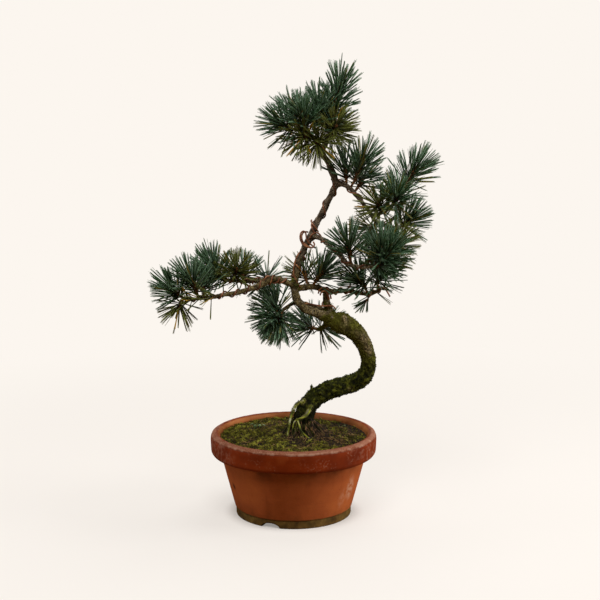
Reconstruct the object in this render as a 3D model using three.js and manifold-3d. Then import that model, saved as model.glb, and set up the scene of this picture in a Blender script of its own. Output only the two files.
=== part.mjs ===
// A white pine bonsai with copper training wire, in a round terracotta pot.
// Millimetres, +Z up. The origin is the centre of the pot's foot, on the surface that the pot stands on.
// The tree faces -Y: seen from there its trunk swings out to the right and its long branch reaches to the left.
import * as THREE from "three";
import { mergeVertices } from "three/addons/utils/BufferGeometryUtils.js";
import Module from "manifold-3d";

const wasm = await Module();
wasm.setup();

// ---------------------------------------------------------------- driving dimensions

const CLEARANCE = 0.3; // left between pieces that touch

const POT = {
  rimRadius: 105,
  height: 106,
  segments: 36,
  holeRadius: 13,
  floorTop: 13,
  floorUnder: 6.5,
  footRadius: 72.9,
  footInnerRadius: 61,
};
const NOTCH = { count: 3, width: 24, height: 6, first: -113, depth: 30 }; // first: degrees from +X, left of the front
const SOIL = { wallZ: 98, moundZ: 105, moundRadius: 48, lumpHeight: 0.9 };
const NET = { side: 38, thickness: 1, cells: 3, cellPitch: 11.6, strip: 3.2 };
const WIRE = { radius: 1, sides: 4, stepsPerTurn: 6, offBark: 0.4 };
const NEEDLE = { length: 37, radius: 0.9, draws: 40, rootShare: 0.08 };
const SHOOT = { stemRadius: 1.6, baseRadius: 1.7, middleRadius: 1.4, tipRadius: 1, sides: 6, bareShare: 1 / 3 };
const SEED = 5309;

// The wood's limbs: smooth curves through [x, y, z, radius] points, from the thick end to the thin one.
const TRUNK = [
  [6, -2, 64, 9], [8, -2, 88, 12.5], [10, -1, 107, 13.5], [13, 0, 123, 13], [18, 2, 137, 12.4],
  [26, 5, 146, 11.6], [37, 8, 152, 11.4], [50, 10, 158, 11.4], [66, 13, 161, 11.6], [82, 14, 167, 11.2],
  [92, 13, 178, 10.2], [95, 11, 192, 9.3], [92, 8, 206, 9.5], [87, 5, 219, 10], [78, 2, 231, 11],
  [67, 0, 240, 12.4], [56, -1, 245, 13], [47, -2, 249, 9.2], [36, -4, 254, 6.3], [24, -6, 259, 5.4],
  [14, -8, 264, 5.2], [6, -9, 272, 5.1], [2, -9, 282, 5], [1, -8, 292, 5.2], [2, -6, 301, 4.8],
  [4, -4, 312, 4.6], [10, 0, 328, 4.1], [15, 3, 340, 4.3], [22, 5, 353, 4.5], [29, 7, 369, 4],
  [37, 8, 383, 4], [44, 8, 398, 3.8], [50, 7, 410, 4], [53, 6, 416, 4.4],
];
const BRANCHES = {
  crown: [
    [53, 6, 416, 4.2], [48, 4, 431, 4.2], [43, 2, 443, 3.8], [36, 0, 453, 3.7], [29, -3, 467, 3.2], [19, -6, 480, 2.7],
    [9, -6, 484, 2.3], [2, -5, 484, 2],
  ],
  crown_right: [[34, -1, 457, 3.4], [41, 2, 471, 2.9], [47, 3, 487, 2.4], [50, 3, 497, 2.2]],
  crown_back: [[31, -2, 463, 2.9], [29, 6, 477, 2.5], [27, 13, 484, 2.1]],
  left: [
    [1, -8, 293, 4.6], [-9, -12, 297, 4], [-18, -15, 301, 3.6], [-28, -18, 301, 3.6], [-38, -21, 296, 3.3],
    [-49, -24, 292, 3.2], [-59, -27, 289, 3.1], [-70, -29, 286, 2.9], [-81, -31, 285, 2.8], [-92, -31, 283, 2.7],
    [-104, -30, 280, 2.3], [-115, -29, 279, 2.1], [-127, -28, 278, 1.9], [-135, -28, 279, 1.8],
  ],
  left_back: [
    [-30, -18, 300, 2.9], [-46, -8, 298, 2.6], [-59, 0, 296, 2.3], [-72, 6, 296, 2.1], [-85, 11, 296, 1.9],
    [-94, 14, 297, 1.8],
  ],
  mid: [
    [22, 4, 353, 4], [30, -2, 352, 3.1], [38, -8, 348, 3], [46, -14, 340, 3], [54, -18, 334, 2.9], [61, -22, 327, 2.9],
    [67, -25, 321, 2.7], [76, -28, 319, 2.4], [86, -32, 318, 2.2], [95, -35, 320, 2], [104, -37, 324, 1.9],
    [114, -34, 330, 1.8], [121, -31, 336, 1.7],
  ],
  low: [
    [2, -8, 289, 4.6], [13, -5, 289, 4], [22, -2, 290, 3.7], [31, 0, 288, 3.6], [41, 2, 284, 4], [51, 3, 283, 3.1],
    [62, 3, 284, 2.9], [73, 2, 283, 2.8], [84, 1, 281, 2.6], [95, 0, 280, 2.5], [103, -2, 284, 2.3], [109, -3, 288, 1.9],
    [115, -4, 289, 1.5],
  ],
  stub: [[50, 2, 248, 6.3], [43, 4, 264, 4.8], [40, 4, 275, 3.9], [41, 2, 284, 3.7]],
  under_left: [
    [50, 8, 253, 3.2], [40, 12, 258, 2.6], [30, 13, 261, 2.4], [20, 12, 265, 2.3], [9, 10, 268, 2.2], [-2, 8, 266, 2.1],
    [-12, 5, 260, 2], [-18, 3, 252, 1.9],
  ],
  inside: [[47, 5, 246, 4], [38, 16, 236, 3], [31, 25, 230, 2.4]],
  right: [
    [53, 6, 416, 4], [61, 3, 417, 3.6], [69, 0, 412, 3.1], [76, -2, 405, 2.8], [82, -4, 398, 2.6], [89, -5, 389, 2.5],
    [96, -4, 379, 2.3], [101, -2, 371, 2.1], [112, 4, 365, 1.9], [124, 10, 361, 1.8], [133, 13, 361, 1.7],
  ],
  right_upper: [
    [96, -4, 380, 2.1], [107, -6, 381, 1.9], [115, -7, 385, 1.8], [122, -8, 394, 1.8], [128, -8, 404, 1.7],
    [134, -7, 413, 1.7],
  ],
};
// Roots that leave the foot of the trunk above the soil and run down into it.
const ROOTS = [
  [
    [13, -4, 144, 3.4], [5, -8, 142, 2.8], [0, -11, 135, 2.5], [-4, -13, 125, 2.4], [-6, -15, 113, 2.3],
    [-8, -16, 101, 2.2], [-11, -18, 86, 2],
  ],
  [
    [21, -8, 138, 3], [17, -13, 130, 2.5], [11, -15, 126, 2.4], [6, -16, 121, 2.4], [3, -19, 111, 2.3],
    [0, -22, 100, 2.2], [-2, -25, 86, 2],
  ],
  [[5, -10, 119, 2.4], [8, -16, 112, 2.3], [11, -21, 105, 2.2], [13, -26, 95, 2], [14, -30, 84, 1.8]],
  [[13, -10, 117, 2.3], [16, -17, 110, 2.1], [21, -21, 103, 2], [26, -26, 93, 1.8], [29, -29, 84, 1.6]],
  [[18, -8, 119, 1.8], [22, -13, 109, 1.7], [26, -17, 102, 1.6], [32, -21, 93, 1.4], [36, -24, 86, 1.3]],
  [[0, -6, 118, 2.4], [-8, -9, 112, 2.2], [-14, -12, 103, 2.1], [-19, -15, 93, 1.9], [-23, -18, 84, 1.7]],
  [[21, -3, 118, 2.6], [29, -4, 112, 2.3], [37, -6, 103, 2], [43, -8, 94, 1.9], [47, -9, 85, 1.7]],
  [[14, 8, 125, 2.8], [15, 15, 116, 2.5], [16, 21, 106, 2.2], [18, 28, 94, 2], [19, 32, 84, 1.8]],
  [[5, 6, 122, 2.8], [-2, 12, 113, 2.4], [-9, 17, 104, 2.2], [-16, 22, 93, 2], [-20, 25, 84, 1.8]],
  [[21, 4, 122, 2.6], [29, 10, 112, 2.3], [37, 15, 102, 2.1], [44, 20, 92, 1.8], [48, 22, 84, 1.7]],
  [[0, 0, 115, 2.6], [-9, 1, 108, 2.4], [-17, 3, 101, 2.2], [-25, 5, 92, 1.9], [-30, 6, 84, 1.7]],
];
const CUT_STUB = [[24, 4, 150, 2.2], [23, 3, 158, 1.9], [22, 2, 164, 1.5]];

// Each spray: its limb, where its shoot starts and ends, its rings of needles and how old they are.
const SPRAYS = [
  ["crown_apex", "crown_right", [50, 3, 506], [57, 0, 538], 12, "young"],
  ["crown_apex_side", "crown_right", [47, 8, 489], [49, 15, 510], 9, "young"],
  ["crown_mid", "crown_back", [32, 2, 491], [31, -6, 512], 9, "young"],
  ["crown_front", "crown", [15, -14, 486], [11, -26, 504], 9, "young"],
  ["crown_left", "crown", [-2, -7, 484], [-16, -16, 492], 9, "young"],
  ["crown_left_top", "crown", [4, 4, 491], [-2, 13, 502], 9, "young"],
  ["crown_low_left", "crown", [18, -12, 475], [9, -22, 475], 9, "old"],
  ["crown_low", "crown", [30, -10, 468], [28, -22, 469], 8, "old"],
  ["crown_right_low", "crown_right", [46, -4, 480], [52, -14, 488], 9, "old"],
  ["crown_back", "crown_back", [25, 20, 491], [22, 32, 500], 9, "young"],
  ["crown_back_right", "crown_right", [45, 12, 476], [52, 26, 481], 8, "old"],
  ["right_near", "right", [76, -3, 424], [86, -7, 448], 9, "young"],
  ["right_near_small", "right", [65, 2, 425], [63, 1, 437], 5, "young"],
  ["right_near_back", "right", [81, 10, 414], [88, 22, 425], 8, "young"],
  ["right_up", "right_upper", [139, -7, 421], [151, -7, 438], 9, "young"],
  ["right_centre", "right_upper", [124, -16, 394], [124, -27, 404], 9, "young"],
  ["right_centre_back", "right_upper", [132, 2, 404], [131, 14, 409], 8, "young"],
  ["right_olive", "right_upper", [108, -14, 387], [103, -24, 395], 9, "old"],
  ["right_whorl", "right", [99, 4, 364], [95, 14, 358], 8, "old"],
  ["right_low", "right", [136, 13, 365], [143, 12, 371], 9, "young"],
  ["mid_up", "mid", [69, -28, 332], [66, -31, 348], 9, "young"],
  ["mid_top", "mid", [105, -44, 333], [106, -50, 344], 9, "young"],
  ["mid_olive", "mid", [122, -28, 342], [127, -26, 350], 9, "old"],
  ["mid_front", "mid", [109, -49, 332], [115, -57, 341], 9, "young"],
  ["mid_low", "mid", [101, -43, 321], [107, -48, 324], 8, "young"],
  ["mid_back", "mid", [92, -24, 325], [99, -12, 332], 8, "young"],
  ["low_up", "low", [88, -4, 290], [81, -10, 299], 9, "young"],
  ["low_hang", "low", [91, 2, 272], [89, 2, 269], 2, "hanging"],
  ["low_tip", "low", [104, -9, 297], [107, -16, 305], 8, "young"],
  ["inner_up", "low", [28, -6, 298], [37, -10, 311], 8, "young"],
  ["inner_olive", "low", [16, 2, 297], [13, 10, 307], 6, "old"],
  ["left_end", "left", [-139, -30, 283], [-146, -34, 291], 9, "young"],
  ["left_end_under", "left", [-138, -27, 274], [-141, -26, 268], 5, "old"],
  ["left_second", "left", [-119, -33, 291], [-125, -37, 305], 9, "young"],
  ["left_second_back", "left", [-110, -22, 288], [-111, -12, 296], 8, "young"],
  ["left_third", "left_back", [-97, 16, 302], [-102, 18, 312], 9, "young"],
  ["left_third_front", "left_back", [-89, 6, 302], [-100, -4, 309], 8, "young"],
  ["left_olive", "left_back", [-73, 0, 303], [-70, -9, 313], 8, "old"],
  ["left_fourth", "left_back", [-62, 7, 301], [-63, 16, 305], 9, "young"],
  ["left_inner", "left_back", [-33, 4, 300], [-33, 14, 297], 7, "young"],
  ["under_front", "under_left", [-15, -6, 253], [-19, -17, 251], 9, "young"],
  ["under_top", "under_left", [-20, 6, 259], [-25, 10, 267], 9, "young"],
  ["under_low", "under_left", [-13, 7, 248], [-16, 10, 243], 9, "young"],
  ["under_left", "under_left", [-23, -1, 253], [-27, -10, 254], 9, "young"],
  ["inside_left", "inside", [24, 28, 232], [15, 34, 235], 8, "young"],
  ["inside_right", "inside", [34, 32, 231], [41, 40, 232], 8, "young"],
];

// Needle stance by age: opening angle from the shoot at its foot and at its tip, in degrees, and length share.
const FOLIAGE = {
  young: { footAngle: 72, tipAngle: 18, jitter: 9, length: 1, colour: 0x35574f },
  old: { footAngle: 92, tipAngle: 30, jitter: 14, length: 0.9, colour: 0x4f5a2a },
  hanging: { footAngle: 40, tipAngle: 20, jitter: 8, length: 0.4, colour: 0x35574f },
};

// Each wire: the limbs it is wound along as [limb, first point, last point], its pitch, its phase in turns,
// and how far its first turns stand off the bark.
const WIRES = [
  ["wire_left", [["trunk", 26, 24], ["left", 1, 12]], 16, 0.6, 0],
  ["wire_left_back", [["left", 2, 3], ["left_back", 1, 4]], 16, 0.4, 0],
  ["wire_leader", [["trunk", 27, 33], ["right", 1, 5]], 30, 0.8, 0],
  ["wire_mid", [["trunk", 29, 28], ["mid", 1, 8]], 19, 0.2, 2.5],
  ["wire_low", [["stub", 1, 2], ["low", 5, 11]], 14, 0.4, 0.6],
];

// ---------------------------------------------------------------- solids

/** A geometry with only its places, its shared vertices merged and its empty triangles dropped. */
function bareGeometry(geometry) {
  const bare = geometry.clone();
  bare.deleteAttribute("normal");
  bare.deleteAttribute("uv");
  const merged = mergeVertices(bare, 1e-4);
  const index = merged.index.array;
  const kept = [];
  for (let i = 0; i < index.length; i += 3) {
    const [a, b, c] = index.subarray(i, i + 3);
    if (a !== b && b !== c && c !== a) kept.push(a, b, c);
  }
  return merged.setIndex(kept);
}

/** The closed solid of a geometry. */
function solidOf(geometry) {
  const bare = bareGeometry(geometry);
  return new wasm.Manifold(
    new wasm.Mesh({
      numProp: 3,
      vertProperties: bare.getAttribute("position").array,
      triVerts: new Uint32Array(bare.index.array),
    }),
  );
}

/** The geometry of a solid. */
function geometryOf(solid) {
  const { vertProperties, triVerts } = solid.getMesh();
  const geometry = new THREE.BufferGeometry();
  geometry.setAttribute("position", new THREE.BufferAttribute(vertProperties, 3));
  return geometry.setIndex(new THREE.BufferAttribute(triVerts, 1));
}

/** The named mesh of a geometry. */
function meshOf(name, geometry, material) {
  geometry.computeVertexNormals();
  const mesh = new THREE.Mesh(geometry, material);
  mesh.name = name;
  return mesh;
}

const matte = (color, roughness = 0.9, metalness = 0) =>
  new THREE.MeshStandardMaterial({ color, roughness, metalness });

const vector = ([x, y, z]) => new THREE.Vector3(x, y, z);

/** The smooth curve through a route's points. */
const curveOf = (route) => new THREE.CatmullRomCurve3(route.map(vector), false, "centripetal");

/** The radius of a route at t, from 0 to 1. */
function radiusAt(route, t) {
  const place = t * (route.length - 1);
  const i = Math.min(Math.floor(place), route.length - 2);
  return THREE.MathUtils.lerp(route[i][3], route[i + 1][3], place - i);
}

/** A route's own points as places from 0 to 1 along it. */
const ownStations = (route) => route.map((_, i) => i / (route.length - 1));

/** A round limb of changing thickness: a cylinder whose rings are set square to the route's curve at the stations. */
function limbGeometry(route, sides, stations = ownStations(route), grow = 0) {
  const curve = curveOf(route);
  const last = stations.length - 1;
  const across = Math.abs(curve.getTangent(0).x) > 0.8 ? new THREE.Vector3(0, 1, 0) : new THREE.Vector3(1, 0, 0);
  const rings = stations.map((t, i) => {
    const tangent = curve.getTangent(t).normalize();
    across.addScaledVector(tangent, -across.dot(tangent)).normalize();
    const centre = curve.getPoint(t);
    if (i === 0) centre.addScaledVector(tangent, -grow);
    if (i === last) centre.addScaledVector(tangent, grow);
    return { centre, across: across.clone(), up: across.clone().cross(tangent), radius: radiusAt(route, t) + grow };
  });
  const geometry = new THREE.CylinderGeometry(1, 1, 1, sides, last);
  const position = geometry.getAttribute("position");
  for (let i = 0; i < position.count; i++) {
    const ring = rings[Math.round((position.getY(i) + 0.5) * last)];
    const place = ring.centre
      .clone()
      .addScaledVector(ring.across, position.getX(i) * ring.radius)
      .addScaledVector(ring.up, position.getZ(i) * ring.radius);
    position.setXYZ(i, place.x, place.y, place.z);
  }
  return geometry;
}

const limb = (...shape) => solidOf(limbGeometry(...shape));

const united = (solids) => solids.reduce((whole, piece) => whole.add(piece));

// ---------------------------------------------------------------- pot, net and soil

const INNER_WALL_HEIGHTS = [20, 58, SOIL.wallZ];

/** The inner wall's radius at height z, with its slight flare under the rim. */
function potInnerRadius(z) {
  const share = (z - POT.floorTop) / (SOIL.wallZ - POT.floorTop);
  return 66 + 24 * share + 3 * share ** 3;
}

/** The thrown pot: a tapered bowl with a thick rounded rim, a drain hole and notches in its foot ring. */
function potSolid() {
  const outline = [
    [POT.holeRadius, POT.floorUnder],
    [POT.footInnerRadius - 2, POT.floorUnder],
    [POT.footInnerRadius, 0],
    [POT.footRadius, 0],
    [73.2, 10],
    [74.3, 11.4],
    [76.2, 18],
    [92, 77.6],
    [102, 78.4],
    [104.4, 81.5],
    [POT.rimRadius, 98],
    [103.2, 103.2],
    [98.8, POT.height],
    [95, 104.6],
    [93.2, 101],
    ...INNER_WALL_HEIGHTS.toReversed().map((z) => [potInnerRadius(z), z]),
    [potInnerRadius(POT.floorTop) - 4, POT.floorTop],
    [POT.holeRadius, POT.floorTop],
  ];
  const profile = [...outline, outline[0]].map(([r, z]) => new THREE.Vector2(r, z));
  const lathe = new THREE.LatheGeometry(profile, POT.segments).rotateX(Math.PI / 2);
  let pot = solidOf(lathe);
  for (let i = 0; i < NOTCH.count; i++) pot = pot.subtract(notchSolid(NOTCH.first + (i * 360) / NOTCH.count));
  return pot;
}

/** One drainage notch: a low arch cut through the foot ring at an angle round the pot. */
function notchSolid(degrees) {
  const half = NOTCH.width / 2;
  const arch = new THREE.Shape().moveTo(-half, -2).lineTo(half, -2).lineTo(half, 0);
  arch.quadraticCurveTo(half * 0.75, NOTCH.height, 0, NOTCH.height).quadraticCurveTo(-half * 0.75, NOTCH.height, -half, 0);
  const cut = new THREE.ExtrudeGeometry(arch, { depth: NOTCH.depth, curveSegments: 5, bevelEnabled: false });
  cut.rotateX(Math.PI / 2).rotateZ(Math.PI / 2);
  cut.translate(POT.footRadius + 6 - NOTCH.depth, 0, 0);
  return solidOf(cut.rotateZ(THREE.MathUtils.degToRad(degrees)));
}

/** The plastic net that keeps the soil off the drain hole: flat strips that cross. */
function netSolid() {
  const strips = [];
  for (let i = 0; i <= NET.cells; i++) {
    const place = (i - NET.cells / 2) * NET.cellPitch;
    const strip = new THREE.BoxGeometry(NET.side, NET.strip, NET.thickness).translate(0, place, 0);
    strips.push(solidOf(strip), solidOf(strip.clone().rotateZ(Math.PI / 2)));
  }
  const middle = POT.floorTop + CLEARANCE + NET.thickness / 2;
  return united(strips).translate([0, 0, middle]);
}

/** The height of the soil's top at a radius and an angle: a low mound round the trunk, gently lumpy. */
function soilTop(radius, angle) {
  const mound = (SOIL.moundZ - SOIL.wallZ) * Math.exp(-((radius / SOIL.moundRadius) ** 2));
  const lumps = Math.sin(5 * angle + radius / 7) * Math.sin(radius / 9 + 2 * angle);
  return SOIL.wallZ + mound + SOIL.lumpHeight * lumps * Math.min(1, radius / 20);
}

/** The soil that fills the pot, with plain holes where the trunk and the roots stand in it. */
function soilSolid(buriedLimbs) {
  const netTop = POT.floorTop + NET.thickness + 2 * CLEARANCE;
  const netRadius = NET.side / Math.SQRT2 + 1;
  const floor = POT.floorTop + CLEARANCE;
  const wallGap = CLEARANCE / Math.cos(Math.PI / POT.segments);
  const wall = INNER_WALL_HEIGHTS.map((z) => [potInnerRadius(z) - wallGap, z]);
  const outline = [[0, netTop], [netRadius, netTop], [netRadius + 1, floor], [61, floor], ...wall];
  const topRadii = [72, 46, 20, 0];
  const profile = [...outline, ...topRadii.map((r) => [r, SOIL.wallZ])].map(([r, z]) => new THREE.Vector2(r, z));
  const lathe = new THREE.LatheGeometry(profile, POT.segments).rotateX(Math.PI / 2);
  const position = lathe.getAttribute("position");
  for (let i = 0; i < position.count; i++) {
    const radius = Math.hypot(position.getX(i), position.getY(i));
    if (position.getZ(i) < SOIL.wallZ - 1 || radius > 85) continue;
    position.setZ(i, soilTop(radius, Math.atan2(position.getY(i), position.getX(i))));
  }
  return buriedLimbs.reduce((soil, hole) => soil.subtract(hole), solidOf(lathe));
}

// ---------------------------------------------------------------- wire

/** The points of a wire's centreline, wound round the limbs it is laid along. */
function wireRoute(limbs, [, slices, pitch, phase, standOff]) {
  const path = slices.flatMap(([name, first, last]) => {
    const route = limbs[name].slice(Math.min(first, last), Math.max(first, last) + 1);
    return first > last ? route.reverse() : route;
  });
  const curve = curveOf(path);
  const turns = curve.getLength() / pitch;
  const count = Math.round(turns * WIRE.stepsPerTurn);
  const inside = Math.cos(Math.PI / WIRE.stepsPerTurn); // a step's middle comes this much closer to the bark
  const across = new THREE.Vector3(0, 1, 0);
  const route = [];
  for (let i = 0; i <= count; i++) {
    const u = i / count;
    const t = curve.getUtoTmapping(u);
    const tangent = curve.getTangent(t).normalize();
    across.addScaledVector(tangent, -across.dot(tangent)).normalize();
    const up = across.clone().cross(tangent);
    const angle = 2 * Math.PI * (phase + turns * u);
    const slack = standOff * Math.max(0, 1 - (turns * u) / 1.6);
    const reach = (radiusAt(path, t) + WIRE.radius + WIRE.offBark) / inside + slack;
    const place = curve.getPoint(t);
    place.addScaledVector(across, reach * Math.cos(angle)).addScaledVector(up, reach * Math.sin(angle));
    route.push([place.x, place.y, place.z, WIRE.radius]);
  }
  return route;
}

// ---------------------------------------------------------------- keeping clear

/** How far apart the surfaces of two round tapered bars are, where their centrelines come closest. */
function gapBetween(a, b) {
  const u = b.direction;
  const v = a.direction;
  const w = a.start.clone().sub(b.start);
  const uu = u.dot(u);
  const uv = u.dot(v);
  const vv = v.dot(v);
  const det = uu * vv - uv * uv;
  let s = det > 1e-9 ? THREE.MathUtils.clamp((uv * w.dot(u) - uu * w.dot(v)) / det, 0, 1) : 0;
  const t = THREE.MathUtils.clamp((w.dot(u) + s * uv) / uu, 0, 1);
  s = THREE.MathUtils.clamp((t * uv - w.dot(v)) / vv, 0, 1);
  const apart = w.addScaledVector(v, s).addScaledVector(u, -t).length();
  return apart - THREE.MathUtils.lerp(...a.radii, s) - THREE.MathUtils.lerp(...b.radii, t);
}

/** A round tapered bar between two points, which belongs to a named piece. */
function barOf(owner, start, end, startRadius, endRadius) {
  const direction = end.clone().sub(start);
  const middle = start.clone().addScaledVector(direction, 0.5);
  return { owner, start, direction, radii: [startRadius, endRadius], middle, half: direction.length() / 2 };
}

/** The bars that a route's limb is made of. */
function barsOf(owner, route) {
  const curve = curveOf(route);
  const steps = (route.length - 1) * 2;
  const bars = [];
  for (let i = 0; i < steps; i++) {
    const [from, to] = [i / steps, (i + 1) / steps];
    bars.push(barOf(owner, curve.getPoint(from), curve.getPoint(to), radiusAt(route, from), radiusAt(route, to)));
  }
  return bars;
}

/** Whether a bar keeps the clearance to every bar of the other pieces. */
function isClear(bar, bars) {
  return bars.every((other) => {
    if (other.owner === bar.owner) return true;
    const reach = bar.half + other.half + Math.max(...other.radii) + 2;
    return bar.middle.distanceTo(other.middle) > reach || gapBetween(bar, other) > CLEARANCE + 0.05;
  });
}

// ---------------------------------------------------------------- shoots and needles

/** Seeded draws from 0 to 1. */
function drawsFrom(seed) {
  let state = seed;
  return () => {
    state = (state + 0x6d2b79f5) | 0;
    let mixed = Math.imul(state ^ (state >>> 15), 1 | state);
    mixed = (mixed + Math.imul(mixed ^ (mixed >>> 7), 61 | mixed)) ^ mixed;
    return ((mixed ^ (mixed >>> 14)) >>> 0) / 4294967296;
  };
}

/** Where a spray's stem leaves its limb: below the shoot, on a line to it that passes the wires. */
function stemFoot(limbRoute, base, direction, obstacles) {
  const curve = curveOf(limbRoute);
  const wanted = base.clone().addScaledVector(direction, -9);
  const steps = limbRoute.length * 10;
  let best = null;
  for (let i = 0; i <= steps; i++) {
    const foot = curve.getPoint(i / steps);
    const stem = barOf("stem", foot, base, SHOOT.stemRadius, SHOOT.baseRadius);
    const miss = foot.distanceTo(wanted) + (isClear(stem, obstacles) ? 0 : 60);
    if (!best || miss < best.miss) best = { miss, foot };
  }
  return best.foot;
}

/** How far a point is outside a bar with flat ends. */
function pointGap(point, { start, direction, radii }) {
  const offset = point.clone().sub(start);
  const t = offset.dot(direction) / direction.lengthSq();
  const within = THREE.MathUtils.clamp(t, 0, 1);
  const pastEnd = Math.abs(t - within) * direction.length();
  const outside = offset.addScaledVector(direction, -t).length() - THREE.MathUtils.lerp(...radii, within);
  return pastEnd > 0 ? Math.hypot(pastEnd, Math.max(0, outside)) : outside;
}

/** How far a round face is from the bark of the limbs, at its nearest corner. */
function faceGap(centre, normal, radius, barkBars) {
  const across = new THREE.Vector3(0.3, 0.5, 0.8).cross(normal).normalize();
  const corners = [0, 1, 2, 3, 4, 5, 6, 7].map((k) => across.clone().applyAxisAngle(normal, (k * Math.PI) / 4));
  const points = [centre, ...corners.map((corner) => corner.multiplyScalar(radius).add(centre))];
  return Math.min(...points.flatMap((point) => barkBars.map((bar) => pointGap(point, bar))));
}

/** The route of a spray's stem and shoot, whose foot is seated on the bark with the usual clearance. */
function shootRoute(limbRoute, base, tip, obstacles, barkBars) {
  const along = tip.clone().sub(base);
  const foot = stemFoot(limbRoute, base, along.clone().normalize(), obstacles);
  const rise = base.clone().sub(foot);
  const lean = rise.clone().normalize();
  let seat = 0;
  while (seat < rise.length() - 1 && faceGap(foot, lean, SHOOT.stemRadius, barkBars) < CLEARANCE + 0.1) {
    foot.addScaledVector(lean, 0.1);
    seat += 0.1;
  }
  const middle = base.clone().addScaledVector(along, 0.5);
  return [
    [...foot, SHOOT.stemRadius], [...base, SHOOT.baseRadius], [...middle, SHOOT.middleRadius], [...tip, SHOOT.tipRadius],
  ];
}

/** The stations of a shoot: one for its bare stem, then its rings of needles. */
function shootStations(rings) {
  const leafy = Array.from({ length: rings + 1 }, (_, i) => SHOOT.bareShare + ((1 - SHOOT.bareShare) * i) / rings);
  return [0, ...leafy];
}

/** The facets of a shoot that carry a needle: every other one round its leafy side, and all of its end. */
function needleFacets(geometry, curve, rings) {
  const position = geometry.getAttribute("position");
  const index = geometry.index.array;
  const rows = rings + 1;
  const sideFacets = SHOOT.sides * rows * 2;
  const facets = [];
  for (let facet = 0; facet < index.length / 3; facet++) {
    const corners = [0, 1, 2].map((k) => new THREE.Vector3().fromBufferAttribute(position, index[3 * facet + k]));
    const centre = corners[0].clone().add(corners[1]).add(corners[2]).divideScalar(3);
    const [side, row] = [Math.floor(facet / 2 / rows), Math.floor(facet / 2) % rows];
    const share = 1 - (row + 0.5) / rings; // row 0 is the shoot's end
    const atEnd = facet >= sideFacets && centre.distanceTo(curve.getPoint(1)) < centre.distanceTo(curve.getPoint(0));
    const onSide = facet < sideFacets && facet % 2 === 0 && (side + row) % 2 === 0 && row < rings;
    const t = SHOOT.bareShare + (1 - SHOOT.bareShare) * share;
    if (atEnd) facets.push({ facet, centre, t: 1, share: 1 });
    if (onSide) facets.push({ facet, centre, t, share: 0.92 * share });
  }
  return facets;
}

/** A needle on a facet, drawn within its stance until it is clear, or null where there is no room. */
function drawNeedle(owner, curve, { facet, centre, t, share }, stance, draw, bars) {
  const axis = curve.getTangent(t).normalize();
  const outward = centre.clone().sub(curve.getPoint(t));
  outward.addScaledVector(axis, -outward.dot(axis)).normalize();
  for (let i = 0; i < NEEDLE.draws; i++) {
    const loose = 1 + i / NEEDLE.draws;
    const opening = THREE.MathUtils.lerp(stance.footAngle, stance.tipAngle, share ** 0.8);
    const lean = THREE.MathUtils.degToRad(opening + stance.jitter * loose * (2 * draw() - 1));
    const turned = outward.clone().applyAxisAngle(axis, 0.3 * loose * (2 * draw() - 1));
    const direction = axis.clone().multiplyScalar(Math.cos(lean)).addScaledVector(turned, Math.sin(lean));
    const length = NEEDLE.length * stance.length * (0.92 + 0.16 * draw()) * (i > NEEDLE.draws / 2 ? 0.75 : 1);
    const tip = centre.clone().addScaledVector(direction, length);
    const free = centre.clone().lerp(tip, NEEDLE.rootShare);
    const needle = barOf(owner, centre, tip, NEEDLE.radius, 0.05);
    const freePart = barOf(owner, free, tip, NEEDLE.radius * (1 - NEEDLE.rootShare), 0.05);
    if (isClear(needle, bars.others) && isClear(freePart, bars.own)) return { facet, tip, needle, freePart };
  }
  return null;
}

/** A spray: its shoot, with each carrying facet drawn out to the tip of its needle. */
function growSpray({ name, route, rings, age }, draw, bars) {
  const shoot = bareGeometry(limbGeometry(route, SHOOT.sides, shootStations(rings)));
  const curve = curveOf(route);
  const needles = [];
  for (const place of needleFacets(shoot, curve, rings)) {
    const others = bars.filter(({ owner }) => owner !== name);
    const own = needles.map(({ freePart }) => ({ ...freePart, owner: "own" }));
    const grown = drawNeedle(name, curve, place, FOLIAGE[age], draw, { others, own });
    if (grown) needles.push(grown);
  }
  bars.push(...needles.map(({ needle }) => needle));
  const points = [...shoot.getAttribute("position").array];
  const index = [...shoot.index.array];
  for (const { facet, tip } of needles) {
    const [a, b, c] = index.slice(3 * facet, 3 * facet + 3);
    const d = points.length / 3;
    points.push(...tip);
    index.splice(3 * facet, 3, a, b, d);
    index.push(b, c, d, c, a, d);
  }
  const geometry = new THREE.BufferGeometry();
  geometry.setAttribute("position", new THREE.Float32BufferAttribute(points, 3));
  geometry.setIndex(index);
  return geometry;
}

// ---------------------------------------------------------------- the tree in its pot

const limbs = { trunk: TRUNK, ...BRANCHES };
const wires = WIRES.map((wire) => ({ name: wire[0], route: wireRoute(limbs, wire) }));
const wireBars = wires.flatMap(({ name, route }) => barsOf(name, route));

const barkBars = Object.values(limbs).flatMap((route) => barsOf("wood", route));
const shootBars = [];
const sprays = SPRAYS.map(([shortName, limbName, base, tip, rings, age]) => {
  const name = `spray_${shortName}`;
  const route = shootRoute(limbs[limbName], vector(base), vector(tip), [...wireBars, ...shootBars], barkBars);
  shootBars.push(...barsOf(name, route));
  return { name, route, rings, age };
});

const woodPieces = [
  limb(TRUNK, 11),
  ...Object.values(BRANCHES).map((route) => limb(route, 6)),
  ...ROOTS.map((route) => limb(route, 5)),
  limb(CUT_STUB, 5),
];
const grooves = wires.map(({ route }) => limb(route, WIRE.sides, ownStations(route), CLEARANCE));
const grooved = grooves.reduce((whole, groove) => whole.subtract(groove), united(woodPieces));
const wood = grooved.decompose().reduce((largest, piece) => (piece.volume() > largest.volume() ? piece : largest));

const holeGap = CLEARANCE / Math.cos(Math.PI / 5);
const holes = [
  limb(TRUNK.slice(0, 6), 11, undefined, holeGap),
  ...ROOTS.map((route) => limb(route, 5, undefined, holeGap)),
];

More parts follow.
